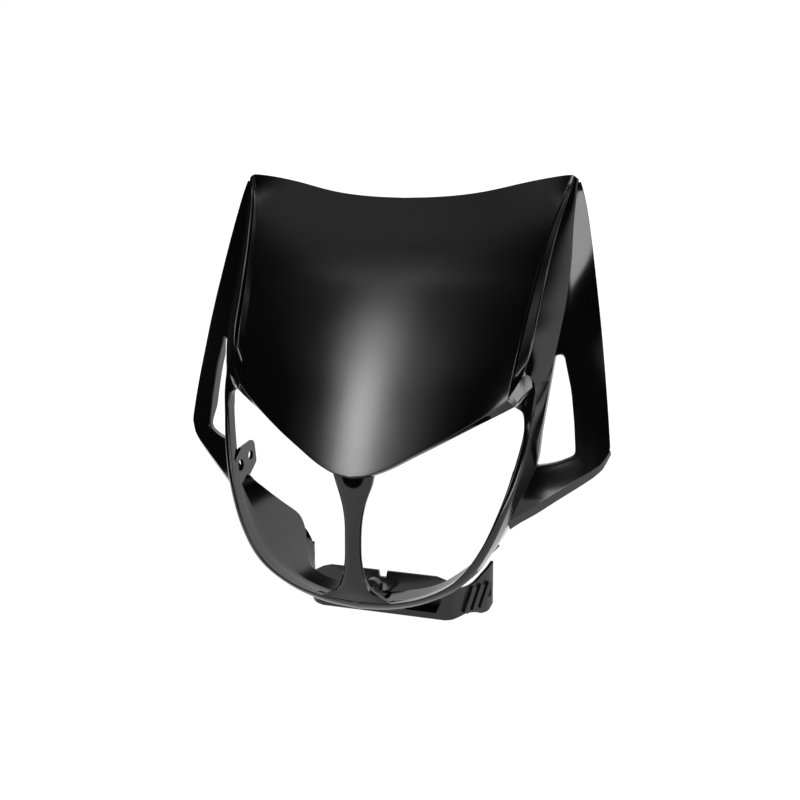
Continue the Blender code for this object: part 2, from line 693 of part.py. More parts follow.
def build_shell(finish):
    sheet, inside = build_face()
    turn_outward(sheet, (0.0, -1.0, 0.0))
    places, faces = sheet.thick(WALL, fill=inside)
    made = add_object("mask_shell", places, faces, finish)
    mirror(made)

    wing = build_wing()
    turn_outward(wing, (0.3, -1.0, 0.0))
    wing_places, wing_faces = wing.thick(WALL, open_edges_on_centre=False)
    wings = as_helper(add_object("wing_pair", wing_places, wing_faces))
    pad = as_helper(window_pad())
    boolean(wings, pad, "UNION", "Add window return")
    window = as_helper(prism("wing_window", rounded(WINDOW), "y", 30.0, 110.0))
    boolean(wings, window, "DIFFERENCE", "Cut window")
    mirror(wings)

    lug_middle = float(rim_station(LUG_STATION)[0][0]) - LUG_INSET
    lug = prism("skirt_lug", rounded(LUG_OUTLINE), "x", lug_middle - LUG_THICKNESS / 2,
                lug_middle + LUG_THICKNESS / 2)
    mirror(as_helper(lug))
    lip = build_lip()
    lip_places, lip_faces = lip.thick(WALL, open_edges_on_centre=False)
    lips = as_helper(add_object("skirt_lip", lip_places, lip_faces))
    mirror(lips)
    for helper in (wings, lug, lips):
        boolean(made, helper, "UNION", "Join " + helper.name)

    floor = RIM[-1][2][2]
    notch = prism("floor_notch", rounded(FLOOR_NOTCH), "z", floor - FLOOR_CUT, floor + NOTCH_RISE)
    slot = prism("floor_slot", rounded(FLOOR_SLOT), "z", floor - FLOOR_CUT, floor + SLOT_RISE)
    mirror(slot)
    for helper in (notch, slot):
        boolean(made, as_helper(helper), "DIFFERENCE", "Cut " + helper.name)
    for number, (set_back, height, diameter) in enumerate(LUG_HOLES):
        hole = prism(f"lug_hole_{number + 1}", circle((set_back, height), diameter / 2, 20), "x",
                     lug_middle - LUG_THICKNESS * 2, lug_middle + LUG_THICKNESS * 1.2)
        mirror(as_helper(hole))
        boolean(made, hole, "DIFFERENCE", "Cut " + hole.name)
    return made


def main():
    for old in list(bpy.data.objects):
        bpy.data.objects.remove(old, do_unlink=True)
    gloss = material("Gloss black", (0.012, 0.012, 0.013), 0.12)
    satin = material("Satin black", (0.03, 0.03, 0.031), 0.38)
    pieces = (build_shell(gloss), build_bracket(satin))
    bpy.context.view_layer.update()
    graph = bpy.context.evaluated_depsgraph_get()
    corners = np.array([c[:] for made in pieces for c in made.evaluated_get(graph).bound_box])
    low, high = corners.min(axis=0), corners.max(axis=0)
    base = (0.0, (low[1] + high[1]) / 2, low[2])
    for made in bpy.data.objects:
        for vertex in made.data.vertices:
            vertex.co.y -= float(base[1])
            vertex.co.z -= float(base[2])
        made.data.shade_smooth()
        made.data.set_sharp_from_angle(angle=math.radians(32))


main()
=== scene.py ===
"""Headlight mask of a motorcycle, as a finished moulding in a plain studio.

The tables are real sizes in millimetres, measured from the lowest point of the panel. They are
the solid part's, with small touches where edges show. The front of the mask faces -Y, and the
object is symmetric about x = 0.
"""

import math

import bmesh
import bpy
import numpy as np
from mathutils import Matrix, Quaternion, Vector


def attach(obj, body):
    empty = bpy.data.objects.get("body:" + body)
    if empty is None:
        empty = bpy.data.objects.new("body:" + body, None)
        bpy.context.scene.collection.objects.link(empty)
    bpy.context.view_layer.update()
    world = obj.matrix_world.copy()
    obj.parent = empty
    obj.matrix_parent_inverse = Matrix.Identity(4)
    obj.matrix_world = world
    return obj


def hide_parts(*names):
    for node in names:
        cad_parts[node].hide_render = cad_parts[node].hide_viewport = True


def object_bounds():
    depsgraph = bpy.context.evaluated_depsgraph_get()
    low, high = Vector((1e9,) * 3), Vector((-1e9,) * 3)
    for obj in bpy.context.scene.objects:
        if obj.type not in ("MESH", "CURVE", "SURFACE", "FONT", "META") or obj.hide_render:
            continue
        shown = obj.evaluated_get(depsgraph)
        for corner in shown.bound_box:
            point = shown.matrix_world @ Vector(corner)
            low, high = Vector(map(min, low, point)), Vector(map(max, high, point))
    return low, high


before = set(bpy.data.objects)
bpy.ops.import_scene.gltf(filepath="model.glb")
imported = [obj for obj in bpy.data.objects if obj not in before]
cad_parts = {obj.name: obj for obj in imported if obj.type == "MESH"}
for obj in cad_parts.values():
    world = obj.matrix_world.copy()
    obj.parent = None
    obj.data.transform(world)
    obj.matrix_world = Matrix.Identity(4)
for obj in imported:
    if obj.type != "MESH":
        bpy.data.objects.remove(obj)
cad_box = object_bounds()

MM = 0.001
FRONT = 2.0                # set-back of the foremost point
CAMERA = (340.45, -795.89, 220.42)
CAMERA_RIGHT = (0.93529, 0.35387, -0.00397)
CAMERA_UP = (-0.06217, 0.17535, 0.98254)
CAMERA_LENS = 58.5
GROUND = -0.0004           # the studio's floor is a hair under the mask, in metres
LAMP_TARGET = (0.0, 0.0, 0.16)
LAMP_FALL = 18.0           # how fast a lamp without a given soft share dims from its middle
SHARP_ANGLE = 38           # degrees between faces from which an edge is left sharp
SAME_SPOT = 4e-6           # points nearer than this are merged, in metres
SLIVER = 2e-6              # edges shorter than this are dissolved, in metres

# Walls and edges in millimetres
WALL = 2.0
BRACKET_WALL = 2.6
FACE_WALL = 1.15 * WALL    # wall behind the face of the rim
EDGE_ROUND = 1.3           # radius of the panel's lower edge
SIDE_ROUND = 1.5           # radius of the panel's edge beside the gutter
CREST_LAND = 1.9           # width of the flat top of the crest
RIM_INNER_ROUND = 1.3      # radius of the rim's edge round a lamp opening
RIM_OUTER_ROUND = 1.0      # radius of the rim's outer edge
CREST_ROUND = 0.45         # radius of the two edges of the crest
GUTTER_ROUND = 0.35        # radius of the corners of the gutter's floor
FOLD_ROUND = 0.8           # radius of the fold along a wing's lower edge
WINDOW_ROUND = 1.0         # radius of the edge of a wing's window
LIP_RELIEF = 0.35          # how far a free edge is rounded out
GUTTER_DEPTH = 3.6         # at the panel's outer corner
GUTTER_TOP_DEPTH = 0.7
GUTTER_FLOOR = (0.12, 0.84)   # shares across the gutter between which its floor lies
FACET_BULGE = 0.25
FACET_WAY = (0.74, -0.67, 0.0)
RIM_BULGE = 0.9
RIM_WAY = (0.3, -1.0, 0.0)
POST_FLANGE = 9.0
PILLAR_FLANGE = 2.0
PILLAR_FOOT_FLANGE = 3.6
PILLAR_BOW = 2.2
PILLAR_EDGE_BOW = 1.2      # further bow of the pillar's outer part
TOP_FLANGE = 3.5
ROOT_RETURN = 6.0
ROOT_TOP_RETURN = 2.5
WING_CHAMFER = (5.5, 7.0)
WINDOW_RETURN = 6.0
WINDOW_SIDE_RETURN = 11.0  # the deeper return at the window's outer side
WING_SWELL = 1.4
WING_SWELL_WIDTH = 36.0    # the swell is less where the wing is narrower than this
WING_STEP = 0.4
WING_ROOT_LAP = 1.2
SKIRT_DRAFT = 0.05
LIP_LAP = 2.1              # how far the lip starts inside the skirt

# How finely each surface is made
PILLAR_COLUMNS = 8
PANEL_ACROSS = tuple(0.15 * i / PILLAR_COLUMNS for i in range(PILLAR_COLUMNS)) + tuple(
    0.15 + 0.85 * i / 26 for i in range(27))
PANEL_COLUMNS = len(PANEL_ACROSS) - 1
PANEL_ROWS = 44
FACET_SHARES = (0.17, 0.34, 0.5, 0.64, 0.78, 0.9, 1.0)
RIM_STEPS_PER_STATION = 8
CORNER_STEPS = 4
RETURN_STEPS = 7
PILLAR_ROWS = 40
FLANGE_STEPS = 3
WING_TOP_ROWS = 30
LIP_ROWS = 30
PLATE_ROWS = 8

# Panel: height against set-back on the centre line
PANEL_LEAN = ((0, 1), (40, 19.5), (80, 40), (120, 63), (155, 86), (188, 112), (206, 127))
# How evenly the panel bows across, as a power, between two heights
PANEL_FLARE = (2.0, 7.0)
FLARE_HEIGHTS = (130.0, 190.0)
# Panel outline: half width against height of the lower edge, and of the top edge
LOWER_EDGE = ((0, 2.2), (12, 4.0), (24, 8.4), (43, 18.5), (61, 28.5), (77, 38.2), (93, 48.9),
              (101.5, 56.0))
TOP_EDGE = ((0, 189.0), (23, 189.7), (43, 191.3), (57, 193.2), (71, 196.0), (86, 199.6),
            (103, 203.2), (114, 205.2), (121, 206.2), (124.8, 206.0))
# Lines down each side: height against half width and set-back
PANEL_SIDE = ((56, 101.5, 39.3), (80, 103.8, 49.5), (118, 107.4, 69.8), (144, 110.7, 83.4),
              (171, 115.5, 98.6), (190, 120.6, 109.6), (205.6, 124.8, 115.3))
CREST = ((73.6, 111.3, 48.0), (89, 113.8, 54.7), (116, 115.6, 68.7), (143, 117.8, 83.3),
         (171, 121.1, 98.4), (190, 124.4, 109.4), (204.6, 127.2, 116.2))
WING_ROOT = ((-36, 101.2, 41.8), (-18, 108.3, 44.5), (9, 118.6, 52.8), (33, 121.3, 56.2),
             (50, 123.3, 59.3), (82, 126.7, 67.6), (120, 129.6, 87.2), (145, 129.9, 98.0),
             (172, 128.9, 107.2), (205.5, 129.3, 118.5))
WING_BACK = ((-36, 170.5, 71.5), (16, 165.2, 79.0), (39.7, 162.4, 82.9), (70.6, 158.0, 89.1),
             (101.5, 153.1, 95.5), (132.2, 147.5, 102.3), (162.8, 141.4, 109.4),
             (178.1, 138.0, 113.0), (190, 134.9, 115.3), (198, 132.2, 116.6), (204, 129.8, 117.6))

# Scoop at the gutter's lower end, share along it, half width, set-back and height: its upper
# edge from the panel's outer corner over the crest to the tip, and its lower edge
SCOOP_UPPER = ((0, 101.5, 39.3, 56.0), (0.28, 104.6, 41.9, 61.5), (0.52, 107.8, 44.8, 67.4),
               (0.68, 110.1, 46.7, 71.2), (0.78, 112.0, 47.9, 72.6), (0.87, 114.3, 48.8, 72.2),
               (0.94, 116.3, 49.7, 70.0), (1, 117.3, 50.2, 66.6))
SCOOP_LOWER = ((0, 105.5, 43.0, 50.8), (0.2, 107.6, 44.5, 54.6), (0.5, 110.9, 46.6, 58.9),
               (0.78, 114.6, 48.7, 62.1), (0.92, 116.6, 49.8, 64.2), (1, 117.3, 50.2, 66.6))
SCOOP_FADE = 0.07          # share of the panel's height over which the gutter runs out

# Wall under the panel: the way from the panel's edge to the wall's lower edge, at the centre line
# and at the outer corner, the way added in between, and the swell of the wall itself
UNDER_CENTRE = (0.0, 6.0, -2.4)
UNDER_CORNER = (4.0, 3.7, -5.2)
UNDER_BETWEEN = (0.0, 5.0, -1.6)
UNDER_SWELL = (0.0, 0.6, -0.5)

# Stations round the rim, from the panel's outer corner down to the bottom of the chin: the
# lamp opening's edge, the rim's outer edge, and the side wall where the wing joins it
RIM = (((105.5, 43.0, 50.8), (117.3, 50.2, 66.6), (125.3, 62.3, 70.0)),
       ((110.8, 42.0, 47.5), (118.6, 49.4, 57.5), (124.2, 60.4, 59.5)),
       ((112.5, 41.3, 40.0), (118.6, 47.0, 47.5), (123.0, 58.8, 47.5)),
       ((112.0, 40.0, 29.5), (117.2, 43.7, 33.0), (121.3, 56.2, 33.0)),
       ((107.5, 33.5, 7.4), (113.0, 35.8, 9.0), (118.6, 52.8, 9.0)),
       ((100.3, 23.9, -19.0), (105.9, 27.9, -18.5), (108.3, 44.5, -18.5)),
       ((89.3, 17.4, -45.5), (94.4, 22.0, -47.0), (95.0, 39.0, -47.5)),
       ((73.5, 13.5, -67.5), (78.5, 19.2, -70.5), (78.8, 36.0, -71.0)),
       ((51.5, 11.3, -81.2), (54.0, 16.9, -85.7), (54.0, 33.0, -86.7)),
       ((26.0, 11.0, -88.7), (27.0, 16.6, -94.3), (27.0, 33.0, -95.3)),
       ((0.0, 11.5, -91.0), (0.0, 17.5, -97.5), (0.0, 33.0, -98.4)))
# Rear edge of the skirt: station number against set-back
SKIRT_REAR = ((4.5, 52.0), (5.0, 56.0), (5.5, 70.5), (6.0, 85.0), (6.5, 96.5), (7.0, 91.0),
              (7.5, 72.0), (8.0, 53.0), (8.3, 50.5), (9.0, 50.0), (10.0, 50.0))
# Free edge of the lip that the skirt's rear corner turns in to: station against half width,
# set-back and height
LIP_EDGE = ((6.75, 77.5, 94.5, -65.5), (7.0, 73.0, 92.5, -69.0), (7.25, 66.0, 86.0, -75.0),
            (7.5, 61.0, 78.0, -79.5), (7.75, 56.8, 68.0, -83.4), (8.0, 52.6, 56.5, -86.4))

# Pillar: height against half width and set-back of its face
PILLAR = ((-6, 13.0, 7.1), (-12, 10.8, 6.7), (-18, 8.9, 6.2), (-26, 7.2, 5.6), (-46, 6.0, 4.3),
          (-61, 6.6, 4.5), (-74, 9.4, 5.5), (-81, 13.6, 7.2))

# Lower edge of a wing before its turned-under part: half width against height
WING_LOWER = ((100, -32.0), (108, -26.2), (117.8, -20.2), (132.8, -9.9), (148.6, 0.2),
              (156.3, 5.2), (161, 9.6), (164.2, 16.0))
WING_TOP = 200.6
ROOT_BOTTOM = 70.0         # heights between which the facet meets the wing's root
ROOT_TOP = 202.8
WING_SPLIT = 100.0         # height above which the wing has no window beside it
# Window of a wing: half width, height and corner radius; its front side is the wall itself
WINDOW = ((116.5, 8.4, 0.0), (124.0, 9.2, 4.0), (132.0, 10.8, 20.0), (142.9, 15.2, 4.5),
          (141.0, 36.5, 60.0), (138.0, 58.8, 60.0), (131.6, 85.0, 3.2), (124.5, 82.0, 0.0))
WINDOW_CORNERS = ((142.0, 17.0), (131.6, 85.0))   # ends of the window's outer side
WING_SHARES = (0.0, 0.07, 0.16, 0.28, 0.42, 0.56, 0.7, 0.82, 0.92, 1.0)

# Openings in the floor behind the rim: half width, set-back and corner radius
FLOOR_NOTCH = ((-10.5, 23.0, 2.0), (10.5, 23.0, 2.0), (10.5, 55.0, 0.0), (-10.5, 55.0, 0.0))
FLOOR_SLOT = ((15.0, 23.0, 1.0), (36.0, 23.5, 1.0), (34.0, 28.0, 2.0), (17.0, 28.0, 2.0))
FLOOR_CUT_BOTTOM = -104.0  # heights between which the two are cut
NOTCH_CUT_TOP = -93.0
SLOT_CUT_TOP = -90.0

# Lug inside the skirt, and its two holes: set-back, height and diameter
LUG_HALF_SPREAD = 106.0
LUG_THICKNESS = 2.6
LUG_OUTLINE = ((36.0, -21.0, 0.0), (53.0, -21.0, 3.0), (69.5, -9.5, 4.0), (66.0, 9.0, 5.0),
               (44.0, 6.0, 2.0), (36.0, 0.0, 0.0))
LUG_HOLES = ((43.5, -7.0, 9.0), (59.5, -2.5, 7.5))

# Bracket
PLATE_SET_BACK = 64.0
PLATE_HALF_WIDTH = 42.0    # where the flat plate ends and the corner begins
PLATE_TOP = -83.5
PLATE_BOTTOM = -116.5
NOTCH_HALF_WIDTH = 4.5
NOTCH_DEPTH = 5.0
NOTCH_TAPER = 0.6          # its width at the bottom against the top
SIDE_PATH = ((49.0, 64.0), (54.5, 65.0), (58.8, 68.5), (62.5, 75.0), (66.5, 82.0),
             (70.2, 89.0), (73.0, 95.0), (74.6, 101.0))
SIDE_TOP = (-85.5, -88.5, -91.0, -92.0, -90.0, -85.5, -82.0, -79.0)
SIDE_BOTTOM = (-116.5, -115.5, -114.0, -113.0, -114.0, -116.5, -116.0, -112.0)
BOSS_SET_BACK = 41.5
BOSS_HEIGHT = -90.0
BOSS_RADIUS = 6.5
BOSS_LENGTH = 7.0
BOSS_HOLE = 4.4
BOSS_HOLE_LAP = 3.0        # how far the hole is cut past each end of the boss
TONGUE_HALF_WIDTH = 12.0
TONGUE_BOTTOM = -93.5
TONGUE_THICKNESS = 2.6
TONGUE_ROUND = 5.0         # radius of its front corners
RELIEF = 0.4               # how far the rims of the tongue and the lugs are eased
BOSS_RELIEF = 0.5
RIB_COUNT = 3
RIB_SPACING = 8.0
RIB_WIDTH = 4.0
RIB_HEIGHT = 2.4
RIB_SINK = 1.0             # how far a rib reaches into the wall
RIB_LENGTH = 20.5
RIB_LEAN = 25.6            # degrees
RIB_MIDDLE = (63.2, 76.2, -102.2)
RIB_RUN = (7.7, 14.0)      # direction of the side wall at the ribs
POCKET_DEPTH = 14.0        # depth of the pocket behind each window of the front plate
POCKET_SPREAD = 1.16       # the pocket's outside against the window
POCKET_BACK = 2.0          # thickness of the pocket's back
POCKET_SINK = 1.2          # how far the pocket's front lies inside the plate
BRACKET_WINDOW = ((17.0, -111.5, 1.2), (42.0, -111.5, 1.2), (47.0, -100.0, 1.2),
                  (20.0, -100.0, 1.2))
SLOT_SET_BACK = 96.0
SLOT_HEIGHT = -101.0
SLOT_LENGTH = 9.0
SLOT_WIDTH = 4.0
SLOT_CUT = (60.0, 80.0)    # half widths between which the slot is cut
CUT_LAP = 5.0              # how far other cuts reach past what they cut

TO_MODEL = np.array((0.0, cad_box[0][1] / MM - FRONT, -PLATE_BOTTOM))


def along(stations, key):
    """The values of a station table at key, on a smooth curve through its stations."""
    table = np.array(stations, float)
    keys = table[:, 0]
    values = table[:, 1:]
    steps = np.diff(keys)
    slopes = np.diff(values, axis=0) / steps[:, None]
    tangents = np.empty_like(values)
    tangents[0] = slopes[0]
    tangents[-1] = slopes[-1]
    before, after = steps[:-1, None], steps[1:, None]
    tangents[1:-1] = (slopes[:-1] * after + slopes[1:] * before) / (before + after)
    if key <= keys[0]:
        result = values[0] + tangents[0] * (key - keys[0])
    elif key >= keys[-1]:
        result = values[-1] + tangents[-1] * (key - keys[-1])
    else:
        i = int(np.searchsorted(keys, key, side="right")) - 1
        h = steps[i]
        t = (key - keys[i]) / h
        result = ((2 * t ** 3 - 3 * t ** 2 + 1) * values[i]
                  + (t ** 3 - 2 * t ** 2 + t) * h * tangents[i]
                  + (3 * t ** 2 - 2 * t ** 3) * values[i + 1]
                  + (t ** 3 - t ** 2) * h * tangents[i + 1])
    return result if len(result) > 1 else float(result[0])


def mix(a, b, t):
    return a + (b - a) * t


def clamp(t):
    return min(1.0, max(0.0, t))


def ease(t):
    t = clamp(t)
    return t * t * (3 - 2 * t)


def point(x, y, z):
    return np.array((x, y, z), float)


def side_point(table, height):
    x, y = along(table, height)
    return point(x, y, height)


def unit(vector):
    return vector / max(np.linalg.norm(vector), 1e-9)


def angle(a, b):
    """Angle between two vectors of length 1."""
    return math.acos(max(-1.0, min(1.0, float(a @ b))))


def corner_arc(before, corner, after, radius, steps=CORNER_STEPS):
    """Points that round the corner of a line of three points, and their inner corner."""
    to_before, to_after = before - corner, after - corner
    room = 0.46 * min(np.linalg.norm(to_before), np.linalg.norm(to_after))
    a, b = unit(to_before), unit(to_after)
    opening = angle(a, b)
    turn = math.pi - opening
    reach = min(radius * math.tan(turn / 2), room)
    arc = []
    for i in range(steps + 1):
        t = i / steps
        start, end = corner + a * reach, corner + b * reach
        weight = math.cos(turn / 2)
        share = ((1 - t) ** 2, 2 * t * (1 - t) * weight, t * t)
        arc.append((start * share[0] + corner * share[1] + end * share[2]) / sum(share))
    inward = unit(a + b) * WALL / max(math.sin(opening / 2), 0.45)
    return arc, corner + inward


def panel_point(across, up):
    """A point of the panel: across runs from the centre line to the side, up from 0 to 1."""
    low_half = PANEL_SIDE[0][1]
    top_half = PANEL_SIDE[-1][1]
    edge_height = mix(PANEL_SIDE[0][0], PANEL_SIDE[-1][0], up)
    edge_x, edge_y = along(PANEL_SIDE, edge_height)
    z = mix(along(LOWER_EDGE, across * low_half), along(TOP_EDGE, across * top_half), up)
    x = across * edge_x
    held = max(z, PANEL_SIDE[0][0])
    side_x, side_y = along(PANEL_SIDE, held)
    bow = side_y - along(PANEL_LEAN, held)
    low, high = FLARE_HEIGHTS
    flare = mix(*PANEL_FLARE, clamp((held - low) / (high - low)))
    y = along(PANEL_LEAN, z) + bow * (x / side_x) ** flare
    return mix(point(x, y, z), point(edge_x, edge_y, edge_height), across ** 8)


def side_line(up, before):
    """Points beside the panel at one row: its rounded edge, gutter, crest, facet and root.

    Before is the panel's point next to its edge. The edge itself opens the line.
    """
    edge = panel_point(1.0, up)
    crest = side_point(CREST, mix(CREST[0][0], CREST[-1][0], up))
    root = side_point(WING_ROOT, mix(ROOT_BOTTOM, ROOT_TOP, up))
    tip = np.array(RIM[0][1])
    facet = mix(crest, root, 0.5) + point(*FACET_WAY) * FACET_BULGE
    facet = mix(tip, facet, clamp(up * 5) ** 0.7)
    drop = point(0, mix(GUTTER_DEPTH, GUTTER_TOP_DEPTH, up ** 1.5), 0)
    width = np.linalg.norm(crest - edge)
    land = min(CREST_LAND, width * 0.3)
    crest_in = crest + unit(edge - crest) * land + drop * 0.06
    open_end = ease(up / SCOOP_FADE)
    near = mix(edge, crest_in, mix(0.35, GUTTER_FLOOR[0], open_end)) + drop * open_end
    far = mix(edge, crest_in, GUTTER_FLOOR[1]) + drop * mix(0.2, 0.95, open_end)
    control = 2 * facet - (crest + root) / 2
    facet_line = [crest * (1 - s) ** 2 + control * 2 * s * (1 - s) + root * s * s
                  for s in FACET_SHARES]
    line = corner_arc(before, edge, near, mix(0.3, SIDE_ROUND, open_end))[0]
    line += corner_arc(edge, near, far, GUTTER_ROUND, 2)[0]
    line += corner_arc(near, far, crest_in, GUTTER_ROUND * 0.7, 2)[0]
    line += corner_arc(far, crest_in, crest, CREST_ROUND, 3)[0]
    line += corner_arc(crest_in, crest, facet_line[0], CREST_ROUND, 3)[0]
    return line, facet_line


def rim_station(place):
    """Opening edge, outer edge and wing line at a place given in station numbers."""
    rows = [along([(k, *station[which]) for k, station in enumerate(RIM)], place)
            for which in range(3)]
    if rows[2][2] > WING_ROOT[1][0]:
        rows[2] = side_point(WING_ROOT, rows[2][2])
    return rows


def skirt_rear(place):
    """Rear edge of the skirt, or of the short return above it, at a place round the rim."""
    _, outer, root = rim_station(place)
    set_back = along(SKIRT_REAR, place) if place > SKIRT_REAR[0][0] else root[1] + ROOT_RETURN
    if place < SKIRT_REAR[1][0]:
        return root + point(0, set_back - root[1], 0)
    depth = set_back - outer[1]
    ahead, behind = rim_station(place - 0.05)[1], rim_station(place + 0.05)[1]
    run = unit(behind - ahead)
    inward = point(run[2], 0, -run[0])
    return outer + point(0, depth, 0) + inward * depth * SKIRT_DRAFT * min(1, len(RIM) - 1 - place)


class Sheet:
    """A surface of four-sided patches whose shared edges are merged, and its wall."""

    def __init__(self):
        self.points = []
        self.faces = []
        self.index = {}
        self.behind = {}

    def at(self, place, behind=None):
        """Number of the point at a place, with the place of the wall's far side if it is given."""
        key = tuple(int(round(float(c) * 5000)) for c in place)
        if key not in self.index:
            self.index[key] = len(self.points)
            self.points.append(np.array(place, float))
        number = self.index[key]
        if behind is not None:
            self.behind[number] = np.array(behind, float)
        return number

    def patch(self, rows):
        numbers = [[self.at(p) for p in row] for row in rows]
        for low, high in zip(numbers, numbers[1:]):
            for c in range(len(low) - 1):
                ring = [low[c], low[c + 1], high[c + 1], high[c]]
                clean = [n for i, n in enumerate(ring) if n != ring[i - 1]]
                if len(clean) > 2 and len(set(clean)) == len(clean):
                    self.faces.append(clean)

    def turn_outward(self, probe):
        """Make all faces agree with their neighbours, then face the sheet to the probe."""
        users = {}
        for number, face in enumerate(self.faces):
            for i in range(len(face)):
                users.setdefault(frozenset((face[i - 1], face[i])), []).append(number)
        done = [False] * len(self.faces)
        for start in range(len(self.faces)):
            if done[start]:
                continue
            done[start] = True
            queue = [start]
            while queue:
                face = self.faces[queue.pop()]
                for i in range(len(face)):
                    a, b = face[i - 1], face[i]
                    for other in users[frozenset((a, b))]:
                        if done[other]:
                            continue
                        ring = self.faces[other]
                        if any(ring[k - 1] == a and ring[k] == b for k in range(len(ring))):
                            ring.reverse()
                        done[other] = True
                        queue.append(other)
        total = np.zeros(3)
        for face in self.faces:
            total += self.face_normal(face)
        if total @ np.array(probe) < 0:
            self.faces = [list(reversed(f)) for f in self.faces]

    def face_normal(self, face):
        ring = [self.points[n] for n in face]
        total = np.zeros(3)
        for i in range(len(ring)):
            total += np.cross(ring[i - 1] - ring[0], ring[i] - ring[0])
        return total

    def normals(self):
        total = np.zeros((len(self.points), 3))
        for face in self.faces:
            ring = [self.points[n] for n in face]
            n = unit(self.face_normal(face))
            for i, number in enumerate(face):
                a = unit(ring[i - 1] - ring[i])
                b = unit(ring[(i + 1) % len(face)] - ring[i])
                total[number] += n * angle(a, b)
        total /= np.maximum(np.linalg.norm(total, axis=1), 1e-9)[:, None]
        for i, place in enumerate(self.points):
            if abs(place[0]) < 1e-6:
                total[i, 0] = 0.0
        return total

    def solid(self, wall, on_centre=True):
        """Vertices and faces of the sheet with a wall behind it and rounded free edges."""
        place = np.array(self.points)
        normal = self.normals()
        back = place - normal * wall
        for number, target in self.behind.items():
            back[number] = target
        count = len(place)
        faces = [list(f) for f in self.faces]
        faces += [[n + count for n in reversed(f)] for f in self.faces]
        edges = {(f[i - 1], f[i]) for f in self.faces for i in range(len(f))}
        free = []
        for a, b in edges:
            if (b, a) in edges:
                continue
            if on_centre and abs(place[a, 0]) < 1e-6 and abs(place[b, 0]) < 1e-6:
                continue
            free.append((a, b))
        outward = {}
        for a, b in free:
            side = np.cross(unit(place[b] - place[a]), normal[a] + normal[b])
            for n in (a, b):
                outward[n] = outward.get(n, 0) + side
        extra = {}
        rim = []
        for n, side in outward.items():
            side = unit(side)
            if on_centre and abs(place[n, 0]) < 1e-6:
                side[0] = 0.0
            step = min(LIP_RELIEF, wall * 0.25)
            for skin in (place, back):
                skin[n] -= side * step * 1.15
            depth = back[n] - place[n]
            extra[n] = 2 * count + len(rim)
            rim.append(place[n] + depth * 0.2 + side * step)
            rim.append(place[n] + depth * 0.8 + side * step)
        for a, b in free:
            lines = [(a, b), (extra[a], extra[b]), (extra[a] + 1, extra[b] + 1),
                     (a + count, b + count)]
            for (p, q), (r, s) in zip(lines, lines[1:]):
                faces.append([q, p, r, s])
        places = np.vstack((place, back, np.array(rim))) if rim else np.vstack((place, back))
        return places, faces


def closed_mesh(parts, mirrored=True):
    """One mesh in metres from lists of vertices and faces, mirrored and with doubles merged."""
    made = bmesh.new()
    for places, faces in parts:
        verts = [made.verts.new(tuple((p + TO_MODEL) * MM)) for p in places]
        sides = [verts]
        if mirrored:
            flip = point(-1, 1, 1)
            sides.append([made.verts.new(tuple((p * flip + TO_MODEL) * MM)) for p in places])
        for which, row in enumerate(sides):
            for face in faces:
                ring = [row[n] for n in (reversed(face) if which else face)]
                made.faces.new(ring)
        bmesh.ops.remove_doubles(made, verts=[v for side in sides for v in side], dist=SAME_SPOT)
    bmesh.ops.dissolve_degenerate(made, edges=made.edges, dist=SLIVER)
    mesh = bpy.data.meshes.new("in_work")
    made.to_mesh(mesh)
    made.free()
    return mesh


def run_along(line):
    """Length from the start of a line to each of its points."""
    lengths = np.linalg.norm(np.diff(np.array(line, float), axis=0), axis=1)
    return np.concatenate(([0.0], np.cumsum(lengths)))


